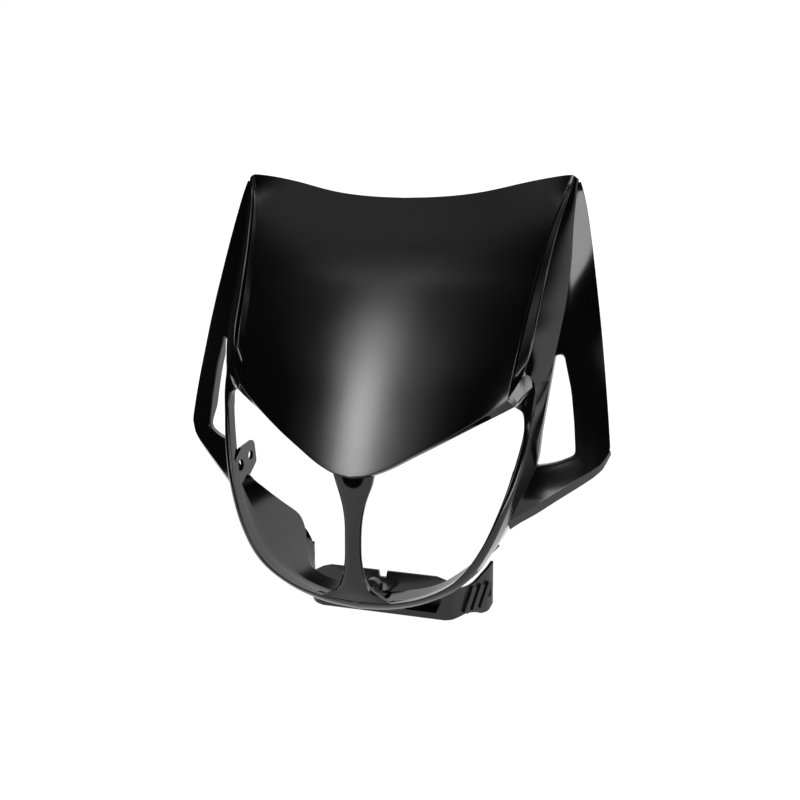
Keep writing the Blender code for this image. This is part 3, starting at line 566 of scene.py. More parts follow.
def build_front():
    """Right half of the front moulding, from the panel to the skirt."""
    sheet = Sheet()
    rows = []
    tip_column = 0
    for r in range(PANEL_ROWS + 1):
        up = r / PANEL_ROWS
        row = [panel_point(across, up) for across in PANEL_ACROSS[:-1]]
        line, facet_line = side_line(up, row[-1])
        tip_column = len(row) + len(line) + 2
        rows.append(row + line + facet_line)
    edge_column = PANEL_COLUMNS

    # Bring the lower end of the gutter and crest on to the scoop's upper edge
    ends = rows[0][edge_column:tip_column + 1]
    run = run_along(ends)
    moves = [along(SCOOP_UPPER, far / run[-1]) - end for far, end in zip(run, ends)]
    for r, row in enumerate(rows):
        fade = 1 - ease(r / PANEL_ROWS / (2 * SCOOP_FADE))
        for i, move in enumerate(moves):
            row[edge_column + i] = row[edge_column + i] + move * fade
        for c in range(tip_column + 1, len(row) - 1):
            share = (c - tip_column) / (len(row) - 1 - tip_column)
            row[c] = row[c] + moves[-1] * fade * (1 - share)
    for row in rows:
        edge_x = row[edge_column][0]
        width = row[-1][0] - edge_x
        squeeze = (width - WALL * 0.95) / width
        for spot in row[edge_column + 1:]:
            reach = spot[0] - edge_x
            back = WALL * mix(1.1, 0.5, reach / width)
            sheet.at(spot, point(edge_x + reach * squeeze, spot[1] + back, spot[2]))

    # Wall under the panel, ending at the tip of the scoop
    upper = rows[0][:tip_column + 1]
    corner, tip, _ = rim_station(0)
    edge_x = upper[edge_column][0]
    base = []
    for c, p in enumerate(upper):
        if c <= edge_column:
            share = p[0] / edge_x
            drop = point(*UNDER_CENTRE) * (1 - share) + point(*UNDER_CORNER) * share ** 5
            drop += point(*UNDER_BETWEEN) * (share - share ** 5)
            base.append(mix(p + drop, corner, share ** 12))
        else:
            base.append(along(SCOOP_LOWER, (p[0] - edge_x) / (tip[0] - edge_x)))
    width = np.linalg.norm((tip - corner)[[0, 2]])
    for c in range(edge_column, tip_column):
        part = (upper[c][0] - edge_x) / (tip[0] - edge_x)
        share = mix(WALL / width, 1 - WALL / width, part)
        sheet.at(base[c], mix(corner, tip, share) + point(0, FACE_WALL, 0))

    under = []
    for t in (0.2, 0.4, 0.6, 0.8):
        swell = point(*UNDER_SWELL) * 4 * t * (1 - t)
        under.append([mix(a, b, t) + swell * (c < edge_column)
                      for c, (a, b) in enumerate(zip(upper, base))])
    edge_rows = [[] for _ in range(CORNER_STEPS + 1)]
    for c, p in enumerate(upper):
        if c < tip_column:
            fade = 1 - ease((c - edge_column) / 5)
            arc, inner = corner_arc(rows[1][c], p, under[0][c], mix(0.25, EDGE_ROUND, fade))
            if c < edge_column:
                for spot in arc:
                    sheet.at(spot, inner)
        else:
            arc = [p] * (CORNER_STEPS + 1)
        for k, spot in enumerate(arc):
            edge_rows[k].append(spot)
    first = edge_rows[0] + rows[0][tip_column + 1:]
    sheet.patch([first] + rows[1:])
    sheet.patch(edge_rows + under + [base])

    # Face of the post and rim, with its two rounded edges
    steps = (len(RIM) - 1) * RIM_STEPS_PER_STATION
    face_rows = [base[edge_column:]]
    middle_count = len(face_rows[0]) - 2 * (CORNER_STEPS + 1)
    for k in range(1, steps + 1):
        place = k / RIM_STEPS_PER_STATION
        inner, outer, root = rim_station(place)
        width = np.linalg.norm((outer - inner)[[0, 2]])
        edge = min(0.42, WALL / width)
        soft = ease(place / 1.5)

        def on_face(f):
            return mix(inner, outer, f) + point(*RIM_WAY) * RIM_BULGE * 4 * f * (1 - f)

        def behind_face(f):
            return mix(inner, outer, mix(edge, 1 - edge, f)) + point(0, FACE_WALL, 0)

        first_arc, _ = corner_arc(inner + point(0, 4, 0), inner, on_face(0.3),
                                  max(0.15, RIM_INNER_ROUND * soft))
        last_arc, _ = corner_arc(on_face(0.7), outer, mix(outer, root, 0.4),
                                 max(0.15, RIM_OUTER_ROUND * soft))
        row = list(first_arc)
        targets = [behind_face(0.0)] * len(first_arc)
        start = np.linalg.norm(first_arc[-1] - inner) / width
        end = 1 - np.linalg.norm(last_arc[0] - outer) / width
        for i in range(middle_count):
            f = mix(start, end, (i + 1) / (middle_count + 1))
            row.append(on_face(f))
            targets.append(behind_face(f))
        row += last_arc
        targets += [behind_face(1.0)] * len(last_arc)
        if k == steps:
            for spot in row + targets:
                spot[0] = 0.0
        for spot, target in zip(row, targets):
            sheet.at(spot, target)
        face_rows.append(row)
    sheet.patch(face_rows)

    # Side wall of the post and rim, then the return behind it that grows into the skirt
    wall_rows = []
    for k in range(steps + 1):
        place = k / RIM_STEPS_PER_STATION
        root = rim_station(place)[2]
        rear = skirt_rear(place)
        if k == 0:
            row = rows[0][tip_column:]
            count = len(row) - 1
        else:
            start = face_rows[k][-1]
            row = [mix(start, root, i / count) for i in range(count)] + [root]
        for i in range(1, RETURN_STEPS + 1):
            row.append(mix(root, rear, i / RETURN_STEPS))
        if k == steps:
            for spot in row:
                spot[0] = 0.0
        wall_rows.append(row)
    sheet.patch(wall_rows)
    upper_return = []
    for r, row in enumerate(rows):
        depth = mix(ROOT_RETURN, ROOT_TOP_RETURN, r / PANEL_ROWS)
        upper_return.append([row[-1] + point(0, depth * i / RETURN_STEPS, 0)
                             for i in range(RETURN_STEPS + 1)])
    sheet.patch(upper_return)

    # Pillar, from under the panel's tip to the bottom of the rim
    last = PILLAR_COLUMNS
    head = base[:last + 1]
    foot = [face_rows[steps - c][0] for c in range(last + 1)]
    columns = []
    for c in range(last + 1):
        share = c / last
        bow = PILLAR_BOW * share ** 2 + PILLAR_EDGE_BOW * max(0.0, share - 0.7) ** 2 / 0.09
        stations = [(-head[c][2], head[c][0], head[c][1])]
        stations += [(-height, half * share, set_back + bow) for height, half, set_back in PILLAR]
        stations += [(-foot[c][2], foot[c][0], foot[c][1])]
        column = [head[c]]
        for i in range(1, PILLAR_ROWS):
            depth = mix(stations[0][0], stations[-1][0], i / PILLAR_ROWS)
            x, y = along(stations, depth)
            column.append(point(x if c else 0.0, y, -depth))
        columns.append(column + [foot[c]])
    sheet.patch(columns)

    # Return that runs back all round the lamp opening
    loop = [(p, TOP_FLANGE) for p in base[last:edge_column + 1]]
    for k in range(1, steps - last + 1):
        place = k / RIM_STEPS_PER_STATION
        depth = min(POST_FLANGE, mix(TOP_FLANGE, POST_FLANGE, place / 2))
        left = (steps - last - k) / RIM_STEPS_PER_STATION
        loop.append((face_rows[k][0], min(depth, mix(PILLAR_FOOT_FLANGE, POST_FLANGE, left))))
    side = columns[last]
    for i in range(PILLAR_ROWS - 1, -1, -1):
        foot_share = ease((i - PILLAR_ROWS + 10) / 10)
        depth = mix(PILLAR_FLANGE, PILLAR_FOOT_FLANGE, foot_share)
        loop.append((side[i], mix(TOP_FLANGE, depth, ease(i / 6))))
    sheet.patch([[p + point(0, depth * i / FLANGE_STEPS, 0) for p, depth in loop]
                 for i in range(FLANGE_STEPS + 1)])
    sheet.turn_outward((0.0, -1.0, 0.0))
    return sheet


def wing_height(x, z):
    """Set-back of the wing's surface."""
    root_x, root_y = along(WING_ROOT, z)
    back_x, back_y = along(WING_BACK, z)
    t = (x - root_x) / max(back_x - root_x, 1.0)
    swell = WING_SWELL * min(1.0, ((back_x - root_x) / WING_SWELL_WIDTH) ** 2)
    step = WING_STEP * (1 - clamp(t))
    return mix(root_y, back_y, t) + step - swell * 4 * max(0.0, t * (1 - t))


def rounded(corners, per_step=22.0):
    """An outline of pairs from corners of (a, b, radius)."""
    outline = []
    n = len(corners)
    for i in range(n):
        here = np.array(corners[i][:2], float)
        radius = corners[i][2]
        before = np.array(corners[i - 1][:2]) - here
        after = np.array(corners[(i + 1) % n][:2]) - here
        before /= np.linalg.norm(before)
        after /= np.linalg.norm(after)
        turn = math.pi - angle(before, after)
        if radius <= 0 or turn < 0.02:
            outline.append(tuple(here))
            continue
        reach = radius * math.tan(turn / 2)
        middle = (before + after) / np.linalg.norm(before + after)
        centre = here + middle * radius / math.cos(turn / 2)
        start, end = here + before * reach - centre, here + after * reach - centre
        count = max(1, round(math.degrees(turn) / per_step))
        for k in range(count + 1):
            share = k / count
            spoke = (start * math.sin((1 - share) * turn) + end * math.sin(share * turn))
            outline.append(tuple(centre + spoke / math.sin(turn)))
    return outline


def spread(line, count):
    """The line of pairs sampled again at count + 1 evenly spaced places."""
    line = np.array(line, float)
    run = run_along(line)
    where = np.linspace(0.0, run[-1], count + 1)
    return np.stack([np.interp(where, run, line[:, k]) for k in range(line.shape[1])], axis=1)


def build_wing():
    """Right wing: a band round its window, the part above it, the window's return and the fold."""
    low_count, back_count, top_count = 26, 34, 12
    inner = rounded(WINDOW, 9.0)
    corner_low, corner_top = (
        min(range(len(inner)), key=lambda i: abs(inner[i][0] - x) + abs(inner[i][1] - z))
        for x, z in WINDOW_CORNERS)
    bottom = spread(inner[:corner_low + 1], low_count)
    outside = spread(inner[corner_low:corner_top + 1], back_count)
    top = spread(inner[corner_top:], top_count)
    window_line = list(bottom) + list(outside[1:]) + list(top[1:])

    def back_x(z):
        return float(along(WING_BACK, z)[0])

    def root_x(z):
        return float(along(WING_ROOT, z)[0]) - WING_ROOT_LAP

    low_z = 16.0
    for _ in range(12):
        low_z = along(WING_LOWER, back_x(low_z))
    root_z = -30.0
    for _ in range(12):
        root_z = along(WING_LOWER, root_x(root_z))
    xs = np.linspace(root_x(root_z), back_x(low_z), low_count + 1)
    lower_edge = [(x, along(WING_LOWER, x)) for x in xs]
    back_edge = [(back_x(z), z) for z in np.linspace(low_z, WING_SPLIT, back_count + 1)]
    split_row = [(x, WING_SPLIT) for x in np.linspace(back_x(WING_SPLIT), root_x(WING_SPLIT),
                                                      top_count + 1)]
    outer_line = lower_edge + back_edge[1:] + split_row[1:]

    def on_wing(x, z):
        return point(x, wing_height(x, z), z)

    sheet = Sheet()
    grid = [[on_wing(*mix(np.array(a), np.array(b), s)) for s in WING_SHARES]
            for a, b in zip(window_line, outer_line)]

    # Round the window's edge over into its return
    faced = []
    for i, row in enumerate(grid):
        side = ease(min(i - low_count, low_count + back_count - i) / 8)
        deep = row[0] + point(0, mix(WINDOW_RETURN, WINDOW_SIDE_RETURN, side), 0)
        arc, inner_corner = corner_arc(deep, row[0], row[2], WINDOW_ROUND)
        for spot in arc:
            sheet.at(spot, inner_corner)
        faced.append([deep, mix(deep, arc[0], 0.5)] + arc + row[2:])

    # Fold the lower edge back and down
    back, down = WING_CHAMFER
    fold_rows = []
    for i in range(low_count + 1):
        t = i / low_count
        foot = faced[i][-1] + point(0.0, back, -down) * (1 - 0.5 * t ** 6)
        arc, inner_corner = corner_arc(faced[i][-2], faced[i][-1], foot, FOLD_ROUND)
        for spot in arc:
            sheet.at(spot, inner_corner)
        faced[i][-1] = arc[0]
        fold_rows.append(arc + [mix(arc[-1], foot, 0.5), foot])
    sheet.patch(faced)
    sheet.patch(fold_rows)

    # The part above the window
    upper = []
    for r in range(WING_TOP_ROWS + 1):
        z = mix(WING_SPLIT, WING_TOP, r / WING_TOP_ROWS)
        upper.append([on_wing(x, z) for x in np.linspace(back_x(z), root_x(z), top_count + 1)])
    sheet.patch(upper)
    sheet.turn_outward((0.3, -1.0, 0.0))
    return sheet


def build_lip():
    """Turned-in lip along the skirt's lower rear edge, right side."""
    rows = []
    first, last = LIP_EDGE[0][0], LIP_EDGE[-1][0]
    for k in range(LIP_ROWS + 1):
        place = mix(first, last, k / LIP_ROWS)
        edge = skirt_rear(place) - point(0, LIP_LAP, 0)
        free = along(LIP_EDGE, place)
        rows.append([mix(edge, free, i / 5) for i in range(6)])
    sheet = Sheet()
    sheet.patch(rows)
    sheet.turn_outward((0.0, -1.0, 0.0))
    return sheet


def prism(outline, axis, low, high, relief):
    """Vertices and faces of a prism with its two rims eased by relief."""
    outline = [np.array(p, float) for p in outline]
    middle = np.mean(outline, axis=0)
    area = sum(float(outline[i - 1][0] * outline[i][1] - outline[i][0] * outline[i - 1][1])
               for i in range(len(outline)))
    if (area > 0) != (axis == "y"):
        outline.reverse()
    n = len(outline)
    shrunk = []
    for i, spot in enumerate(outline):
        run = unit(outline[(i + 1) % n] - outline[i - 1])
        side = np.array((run[1], -run[0]))
        if side @ (spot - middle) < 0:
            side = -side
        shrunk.append(spot - side * relief)
    levels = [(low, shrunk), (low + relief, outline), (high - relief, outline), (high, shrunk)]
    if relief <= 0:
        levels = [(low, outline), (high, outline)]
    places = []
    for level, ring in levels:
        for a, b in ring:
            places.append({"x": point(level, a, b), "y": point(a, level, b),
                           "z": point(a, b, level)}[axis])
    last = (len(levels) - 1) * n
    faces = [list(range(n - 1, -1, -1)), list(range(last, last + n))]
    for k in range(len(levels) - 1):
        for i in range(n):
            j = (i + 1) % n
            faces.append([k * n + i, k * n + j, (k + 1) * n + j, (k + 1) * n + i])
    return np.array(places), faces


def circle(centre, radius, count, first=0):
    """Points round a circle, the first one a share of a step from its side."""
    turns = [2 * math.pi * (i + first) / count for i in range(count)]
    return [(centre[0] + radius * math.cos(turn), centre[1] + radius * math.sin(turn))
            for turn in turns]


def new_object(name, mesh):
    made = bpy.data.objects.new(name, mesh)
    bpy.context.scene.collection.objects.link(made)
    return made


def block(outline, axis, low, high, relief=0.0, mirrored=True):
    """The mesh of a prism, its faces turned outward."""
    mesh = closed_mesh([prism(outline, axis, low, high, relief)], mirrored)
    work = bmesh.new()
    work.from_mesh(mesh)
    bmesh.ops.recalc_face_normals(work, faces=work.faces)
    work.to_mesh(mesh)
    work.free()
    return mesh


def discard(made):
    """Remove an object and its mesh."""
    mesh = made.data
    bpy.data.objects.remove(made, do_unlink=True)
    bpy.data.meshes.remove(mesh)


def applied(holder):
    """The mesh of an object with its modifiers applied. The object is used up."""
    graph = bpy.context.evaluated_depsgraph_get()
    result = bpy.data.meshes.new_from_object(holder.evaluated_get(graph))
    discard(holder)
    return result


def cut_and_join(base, added, removed):
    """A mesh with others joined to it and others then cut from it. All are used up."""
    holder = new_object("in_work", base)
    helpers = [new_object("helper", mesh) for mesh in added + removed]
    for number, helper in enumerate(helpers):
        step = holder.modifiers.new("Step", "BOOLEAN")
        step.operation = "UNION" if number < len(added) else "DIFFERENCE"
        step.solver = "EXACT"
        step.object = helper
    result = applied(holder)
    for helper in helpers:
        discard(helper)
    return result


def joined(meshes):
    """One mesh from several, which are used up."""
    work = bmesh.new()
    for mesh in meshes:
        work.from_mesh(mesh)
    work.to_mesh(meshes[0])
    work.free()
    for mesh in meshes[1:]:
        bpy.data.meshes.remove(mesh)
    return meshes[0]


def evened(mesh):
    """The mesh with its shading weighted by area, so that flat faces beside a round stay flat."""
    holder = new_object("in_work", mesh)
    holder.modifiers.new("Even shading", "WEIGHTED_NORMAL").keep_sharp = True
    return applied(holder)


def lug_mesh():
    """The two-hole lug on the inside of each side of the skirt."""
    lug = block(rounded(LUG_OUTLINE, 12), "x", LUG_HALF_SPREAD - LUG_THICKNESS / 2,
                LUG_HALF_SPREAD + LUG_THICKNESS / 2, RELIEF)
    holes = [block(circle((set_back, height), diameter / 2, 40), "x",
                   LUG_HALF_SPREAD - CUT_LAP, LUG_HALF_SPREAD + CUT_LAP)
             for set_back, height, diameter in LUG_HOLES]
    return cut_and_join(lug, [], holes)


def plate_solid():
    """Right half of the bracket: front plate, rounded corner, side wall and rear lug."""
    columns = [(x, PLATE_SET_BACK, PLATE_BOTTOM, PLATE_TOP)
               for x in np.linspace(0, PLATE_HALF_WIDTH, 15)]
    keys = [float(i) for i in range(len(SIDE_PATH))]
    path = [(k, x, y, low, high) for k, (x, y), low, high in zip(keys, SIDE_PATH, SIDE_BOTTOM,
                                                                 SIDE_TOP)]
    for k in np.linspace(0, keys[-1], 43):
        columns.append(tuple(along(path, float(k))))
    sheet = Sheet()
    rows = []
    for r in range(PLATE_ROWS + 1):
        rows.append([point(x, y, mix(max(low, PLATE_BOTTOM), high, r / PLATE_ROWS))
                     for x, y, low, high in columns])
    sheet.patch(rows)
    sheet.turn_outward((0.3, -1.0, 0.0))
    return sheet.solid(BRACKET_WALL)


def bracket_mesh():
    """The bracket with its tongue, boss and pockets, and its openings cut."""
    front, behind = BOSS_SET_BACK + 0.5, PLATE_SET_BACK + 1.0
    tongue = [(-TONGUE_HALF_WIDTH, front, TONGUE_ROUND), (TONGUE_HALF_WIDTH, front, TONGUE_ROUND),
              (TONGUE_HALF_WIDTH, behind, 0.0), (-TONGUE_HALF_WIDTH, behind, 0.0)]
    tongue = block(rounded(tongue, 10), "z", TONGUE_BOTTOM, TONGUE_BOTTOM + TONGUE_THICKNESS,
                   RELIEF, mirrored=False)
    boss = block(circle((0.0, BOSS_HEIGHT), BOSS_RADIUS, 64), "y", BOSS_SET_BACK,
                 BOSS_SET_BACK + BOSS_LENGTH, BOSS_RELIEF, mirrored=False)
    corners = np.array(BRACKET_WINDOW)[:, :2]
    middle = np.mean(corners, axis=0)
    pocket = block(middle + (corners - middle) * POCKET_SPREAD, "y", PLATE_SET_BACK + POCKET_SINK,
                   PLATE_SET_BACK + POCKET_DEPTH + POCKET_BACK)
    window = block(rounded(BRACKET_WINDOW), "y", PLATE_SET_BACK - CUT_LAP,
                   PLATE_SET_BACK + POCKET_DEPTH)
    top, bottom = PLATE_TOP + CUT_LAP, PLATE_TOP - NOTCH_DEPTH
    narrow = NOTCH_HALF_WIDTH * NOTCH_TAPER
    notch = block([(-NOTCH_HALF_WIDTH, top), (-narrow, bottom), (narrow, bottom),
                   (NOTCH_HALF_WIDTH, top)], "y", PLATE_SET_BACK - CUT_LAP,
                  PLATE_SET_BACK + CUT_LAP, mirrored=False)
    slot_outline = []
    for y, z in circle((SLOT_SET_BACK, SLOT_HEIGHT), SLOT_WIDTH / 2, 32, 0.5):
        reach = math.copysign((SLOT_LENGTH - SLOT_WIDTH) / 2, z - SLOT_HEIGHT)
        slot_outline.append((y, z + reach))
    slot = block(slot_outline, "x", *SLOT_CUT)
    hole = block(circle((0.0, BOSS_HEIGHT), BOSS_HOLE / 2, 40), "y",
                 BOSS_SET_BACK - BOSS_HOLE_LAP, BOSS_SET_BACK + BOSS_LENGTH + BOSS_HOLE_LAP,
                 mirrored=False)
    return cut_and_join(closed_mesh([plate_solid()]), [tongue, boss, pocket],
                        [window, notch, slot, hole])


def rib_mesh(finish):
    """Ribs on the bracket's side walls, repeated along them and mirrored by Geometry Nodes."""
    run = unit(np.array(RIB_RUN))
    outward = np.array((run[1], -run[0], 0.0))
    middle = np.array(RIB_MIDDLE) + outward * (RIB_HEIGHT - RIB_SINK) / 2
    spacing = np.array((run[0], run[1], 0.0)) * RIB_SPACING
    turn = (math.radians(-RIB_LEAN), 0.0, math.atan2(-run[0], run[1]))
    sizes = {"Count": ("Int", RIB_COUNT),
             "First rib": ("Vector", tuple((middle + TO_MODEL) * MM)),
             "Spacing": ("Vector", tuple(spacing * MM)),
             "Rib size": ("Vector", tuple(point(RIB_HEIGHT + RIB_SINK, RIB_WIDTH, RIB_LENGTH) * MM)),
             "Turn": ("Vector", turn),
             "Finish": ("Material", finish)}
    shape = Shape("Ribs", sizes)
    line = shape.node("MeshLine", {
        "Count": shape.given("Count"), "Start Location": shape.given("First rib"),
        "Offset": shape.given("Spacing")}, "Mesh", mode="OFFSET")
    bar = shape.node("MeshCube", {"Size": shape.given("Rib size")}, "Mesh")
    ribs = shape.node("InstanceOnPoints", {
        "Points": line, "Instance": bar, "Rotation": shape.given("Turn")}, "Instances")
    ribs = shape.node("RealizeInstances", {"Geometry": ribs}, "Geometry")
    across = shape.node("Transform", {"Geometry": ribs, "Scale": (-1, 1, 1)},
                        "Geometry")
    across = shape.node("FlipFaces", {"Mesh": across}, "Mesh")
    both = shape.node("JoinGeometry", output="Geometry")
    shape.tree.links.new(ribs.socket, both.socket.node.inputs[0])
    shape.tree.links.new(across.socket, both.socket.node.inputs[0])
    dressed = shape.node("SetMaterial", {
        "Geometry": both, "Material": shape.given("Finish")}, "Geometry")
    return shape.mesh(dressed)


class Value:
    """A socket whose arithmetic adds Math nodes to its material."""

    def __init__(self, finish, socket):
        self.finish = finish
        self.socket = socket

    def maths(self, operation, other, flip=False):
        values = (other, self) if flip else (self, other)
        return self.finish.node("Math", dict(enumerate(values)), operation=operation)

    def __add__(self, other):
        return self.maths("ADD", other)

    def __radd__(self, other):
        return self.maths("ADD", other, True)

    def __sub__(self, other):
        return self.maths("SUBTRACT", other)

    def __rsub__(self, other):
        return self.maths("SUBTRACT", other, True)

    def __mul__(self, other):
        return self.maths("MULTIPLY", other)

    def __rmul__(self, other):
        return self.maths("MULTIPLY", other, True)


class Nodes:
    """The nodes of a lamp, a world or a material, all made by one method."""

    prefix = "ShaderNode"

    def __init__(self, owner):
        owner.use_nodes = True
        self.output = {"AreaLight": "OutputLight", "World": "OutputWorld",
                       "Material": "OutputMaterial"}[type(owner).__name__]
        self.tree = owner.node_tree
        self.tree.nodes.clear()

    def node(self, kind, links=None, output=0, **settings):
        """Add a node. Each link is a value for a socket, or the output that feeds it."""
        made = self.tree.nodes.new(kind if kind.startswith("NodeGroup") else self.prefix + kind)
        for name, value in settings.items():
            setattr(made, name, value)
        for socket, value in (links or {}).items():
            if isinstance(value, Value):
                self.tree.links.new(value.socket, made.inputs[socket])
            else:
                made.inputs[socket].default_value = value
        return Value(self, made.outputs[output]) if made.outputs else None

    def end(self, surface):
        self.node(self.output, {"Surface": surface})

    def noise(self, scale, detail=2.0, roughness=0.5, stretch=None):
        where = self.place
        if stretch:
            where = self.node("Mapping", {"Vector": where, "Scale": stretch})
        return self.node("TexNoise", {
            "Vector": where, "Scale": scale, "Detail": detail, "Roughness": roughness}, "Fac")

    def ranged(self, value, low, high, new_low=0.0, new_high=1.0, fall="LINEAR"):
        return self.node("MapRange", {"Value": value, "From Min": low, "From Max": high,
                                      "To Min": new_low, "To Max": new_high},
                         interpolation_type=fall)

    def blend(self, factor, a, b):
        return self.node("Mix", {0: factor, 6: a, 7: b}, 2, data_type="RGBA")

    def bump(self, height, strength, distance, normal=None):
        links = {"Height": height, "Strength": strength, "Distance": distance}
        if normal:
            links["Normal"] = normal
        return self.node("Bump", links)


class Shape(Nodes):
    """Geometry Nodes whose sizes are named inputs, given as (kind of socket, value)."""

    prefix = "GeometryNode"

    def __init__(self, name, sizes):
        self.sizes = sizes
        self.tree = bpy.data.node_groups.new(name, "GeometryNodeTree")
        self.sockets = {}
        for size, (kind, _) in sizes.items():
            self.sockets[size] = self.tree.interface.new_socket(
                name=size, in_out="INPUT", socket_type="NodeSocket" + kind).identifier
        self.tree.interface.new_socket(name="Geometry", in_out="OUTPUT",
                                       socket_type="NodeSocketGeometry")

    def given(self, name):
        return self.node("NodeGroupInput", output=name)

    def mesh(self, geometry):
        """The mesh that the nodes make."""
        self.node("NodeGroupOutput", {"Geometry": geometry})
        holder = new_object("in_work", bpy.data.meshes.new("in_work"))
        step = holder.modifiers.new("Shape", "NODES")
        step.node_group = self.tree
        for size, (_, value) in self.sizes.items():
            step[self.sockets[size]] = value
        return applied(holder)


class Finish(Nodes):
    """A material, with the mask's own coordinates at hand."""

    def __init__(self, name):
        self.material = bpy.data.materials.new(name)
        super().__init__(self.material)
        self.place = self.node("TexCoord", output="Object")

    def plastic(self, **values):
        """End in the plain surface shader, its sockets given with _ for each space."""
        links = {name.replace("_", " "): value for name, value in values.items()}
        self.end(self.node("BsdfPrincipled", links))


def gloss_black():
    """Polished black moulding: faint orange peel, haze in patches, thin rub marks."""
    finish = Finish("Gloss black moulding")
    haze = finish.noise(9.0, 3.0, 0.6)
    smear = finish.noise(34.0, 4.0, 0.62, stretch=(1.0, 1.0, 0.25))
    rub = finish.noise(60.0, 2.0, 0.5, stretch=(9.0, 9.0, 0.35))
    rub_mark = finish.ranged(rub, 0.70, 0.82)
    dust = finish.ranged(finish.noise(900.0, 1.0, 0.5), 0.74, 0.82)
    rough = 0.085 + finish.ranged(haze, 0.35, 0.7, 0.0, 0.035) \
        + finish.ranged(smear, 0.45, 0.75, 0.0, 0.03) + rub_mark * 0.05 + dust * 0.10
    tone = finish.ranged(finish.noise(14.0, 2.0, 0.5), 0.3, 0.7)
    colour = finish.blend(tone, (0.0014, 0.0014, 0.0015, 1), (0.0021, 0.0021, 0.0022, 1))
    colour = finish.blend(dust * 0.35, colour, (0.05, 0.05, 0.052, 1))
    peel = finish.noise(420.0, 2.0, 0.5)
    wave = finish.noise(26.0, 1.0, 0.4)
    normal = finish.bump(wave, 0.10, 0.0006)
    normal = finish.bump(peel, 0.045, 0.00008, normal)
    finish.plastic(Base_Color=colour, Roughness=rough, Normal=normal, IOR=1.5)
    return finish.material


def satin_black():
    """Satin black moulding with a fine spark-eroded grain."""
    finish = Finish("Satin black moulding")
    grain = finish.noise(2600.0, 3.0, 0.6)
    patch = finish.noise(18.0, 3.0, 0.6)
    scuff = finish.ranged(finish.noise(90.0, 3.0, 0.6, stretch=(4.0, 1.0, 1.0)), 0.62, 0.75)
    rough = finish.ranged(patch, 0.3, 0.7, 0.30, 0.42) + scuff * 0.08 - grain * 0.05
    colour = finish.blend(finish.ranged(patch, 0.3, 0.7), (0.012, 0.012, 0.0125, 1),
                          (0.018, 0.018, 0.0185, 1))
    colour = finish.blend(scuff * 0.4, colour, (0.035, 0.035, 0.036, 1))
    normal = finish.bump(grain, 0.25, 0.0001)
    finish.plastic(Base_Color=colour, Roughness=rough, Normal=normal, IOR=1.5)
    return finish.material


def dress(name, mesh, finish, node):
    """Make a piece of the model from its mesh, and hide the CAD solid that it stands for."""
    mesh.materials.clear()
    mesh.materials.append(finish)
    for face in mesh.polygons:
        face.material_index = 0
    mesh.shade_smooth()
    mesh.set_sharp_from_angle(angle=math.radians(SHARP_ANGLE))
    piece = new_object(name, evened(mesh))
    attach(piece, "root")
    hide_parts(node)


def shell_mesh():
    """The front with its floor cuts, joined with the wings, the lips and the lugs."""
    notch = block(rounded(FLOOR_NOTCH, 15), "z", FLOOR_CUT_BOTTOM, NOTCH_CUT_TOP, mirrored=False)
    slot = block(rounded(FLOOR_SLOT, 15), "z", FLOOR_CUT_BOTTOM, SLOT_CUT_TOP)
    front = cut_and_join(closed_mesh([build_front().solid(WALL)]), [], [notch, slot])
    sides = closed_mesh([build_wing().solid(WALL, on_centre=False),
                         build_lip().solid(WALL, on_centre=False)])
    return joined([front, sides, lug_mesh()])


def studio_surface(name, corners, tone, shadow_share, fade):
    """Floor or backdrop: white to the camera and to reflections, with part of its shading.

    Fade is how far from the mask, in metres, the shaded part has run out.
    """
    mesh = bpy.data.meshes.new(name)
    mesh.from_pydata(corners, [], [(0, 1, 2, 3)])
    surface = new_object(name, mesh)
    finish = Finish(name + " white")
    matt = finish.node("BsdfDiffuse", {"Color": (tone, tone, tone, 1)})
    glow = finish.node("Emission", {"Color": (1, 1, 1, 1), "Strength": 1.14})
    seen = 0.0
    for ray in ("Camera", "Glossy", "Transmission"):
        seen = seen + finish.node("LightPath", output=f"Is {ray} Ray")
    away = finish.node("VectorMath", {0: finish.place}, "Value", operation="LENGTH")
    plain = finish.ranged(away, 0.3, fade, 1.0 - shadow_share, 1.0, "SMOOTHSTEP")
    finish.end(finish.node("MixShader", {0: seen * plain, 1: matt, 2: glow}))
    mesh.materials.append(finish.material)


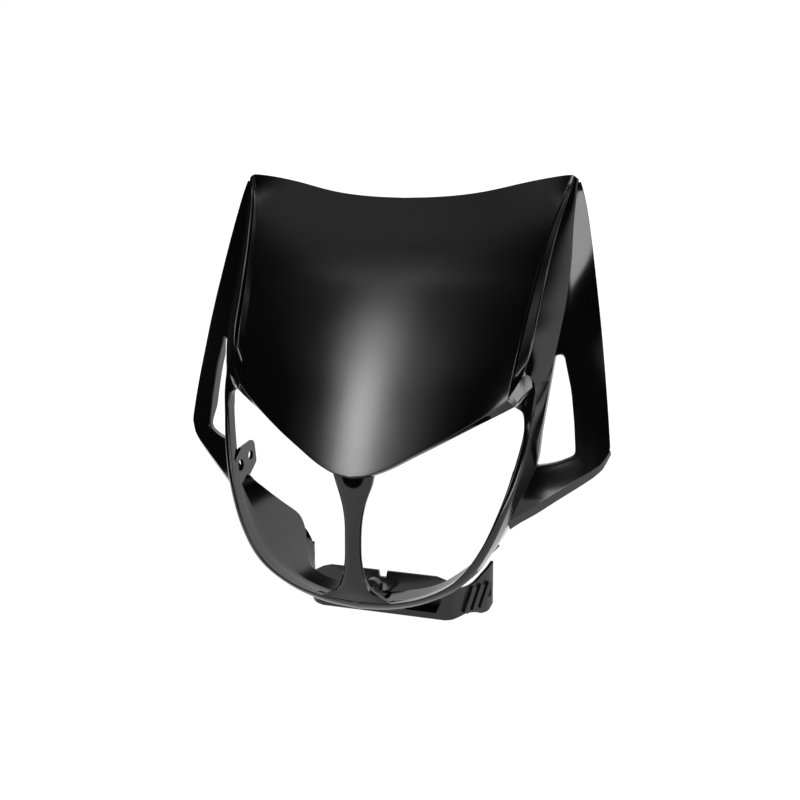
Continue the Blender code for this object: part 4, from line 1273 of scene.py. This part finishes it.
def lamp(name, azimuth, elevation, distance, width, height, radiance, soft=None, roll=0):
    """Soft box seen from the mask in a direction given in degrees, azimuth from the front.

    Width and height are the angles it fills. Soft is the share of it over which it dims at
    its sides; without it the light is brightest in the middle and dims all the way out.
    """
    across, up = (2 * distance * math.tan(math.radians(a) / 2) for a in (width, height))
    data = bpy.data.lights.new(name, "AREA")
    data.shape = "RECTANGLE"
    data.size, data.size_y = across, up
    data.energy = radiance * math.pi * across * up
    glow = Nodes(data)
    place = glow.node("TexCoord", output="UV")
    profile = 1.0
    for axis in ("X", "Y"):
        off_centre = glow.node("SeparateXYZ", {"Vector": place}, axis) - 0.5
        if soft is None:
            share = glow.node("Math", {0: off_centre * off_centre * -LAMP_FALL},
                              operation="EXPONENT")
        else:
            off_centre = glow.node("Math", {0: off_centre}, operation="ABSOLUTE")
            share = glow.ranged(off_centre, 0.5 * (1 - soft), 0.5, 1.0, 0.0, "SMOOTHSTEP")
        profile = share * profile
    glow.end(glow.node("Emission", {"Color": (1, 1, 1, 1), "Strength": profile}))
    made = new_object(name, data)
    azimuth, elevation = math.radians(azimuth), math.radians(elevation)
    towards = Vector((math.sin(azimuth) * math.cos(elevation),
                      -math.cos(azimuth) * math.cos(elevation), math.sin(elevation)))
    made.location = Vector(LAMP_TARGET) + towards * distance
    turn = (-towards).to_track_quat("-Z", "Y") @ Quaternion((0, 0, 1), math.radians(roll))
    made.rotation_euler = turn.to_euler()


def set_studio():
    """White floor and backdrop, the lamps and the camera."""
    scene = bpy.context.scene
    scene.view_settings.view_transform = "Standard"
    studio_surface("floor", [(-0.9, -1.5, GROUND), (1.5, -1.5, GROUND), (1.5, 2.2, GROUND),
                             (-0.9, 2.2, GROUND)], 0.9, 0.12, 0.8)
    studio_surface("backdrop", [(-1.6, 2.2, GROUND), (1.8, 2.2, GROUND), (1.8, 2.2, 2.2),
                                (-1.6, 2.2, 2.2)], 0.9, 0.05, 1.0)
    world = bpy.data.worlds.new("Studio")
    scene.world = world
    around = Nodes(world)
    white = around.node("Background", {"Color": (1, 1, 1, 1), "Strength": 1.0})
    room = around.node("Background", {"Color": (1, 1, 1, 1), "Strength": 0.02})
    seen = around.node("LightPath", output="Is Camera Ray")
    around.end(around.node("MixShader", {0: seen, 1: room, 2: white}))

    lamp("key soft box", -26.5, 34, 1.9, 20, 57, 8.5, roll=15)
    lamp("key spill", -22.5, 34, 2.0, 40, 60, 2.3, roll=15)
    lamp("ceiling", -57, 64, 2.0, 60, 60, 0.45)
    lamp("right strip", 29.8, 33.6, 1.8, 27.3, 10.8, 7.0, 0.14, roll=2)
    lamp("right wall", 100, 10, 2.2, 56, 32, 1.3, 0.5)
    lamp("table edge", 56, -7, 0.69, 31, 8.7, 6.0, 0.15)

    data = bpy.data.cameras.new("Camera")
    data.lens = CAMERA_LENS
    data.sensor_width = 36.0
    data.clip_start = 0.01
    data.clip_end = 100.0
    camera = new_object("Camera", data)
    right, up = Vector(CAMERA_RIGHT), Vector(CAMERA_UP)
    turn = Matrix((right, up, right.cross(up))).transposed().to_4x4()
    camera.matrix_world = Matrix.Translation((np.array(CAMERA) + TO_MODEL) * MM) @ turn
    scene.camera = camera


dress("shell_moulding", shell_mesh(), gloss_black(), "mask_shell")
satin = satin_black()
dress("bracket_moulding", joined([bracket_mesh(), rib_mesh(satin)]), satin, "lower_bracket")
set_studio()
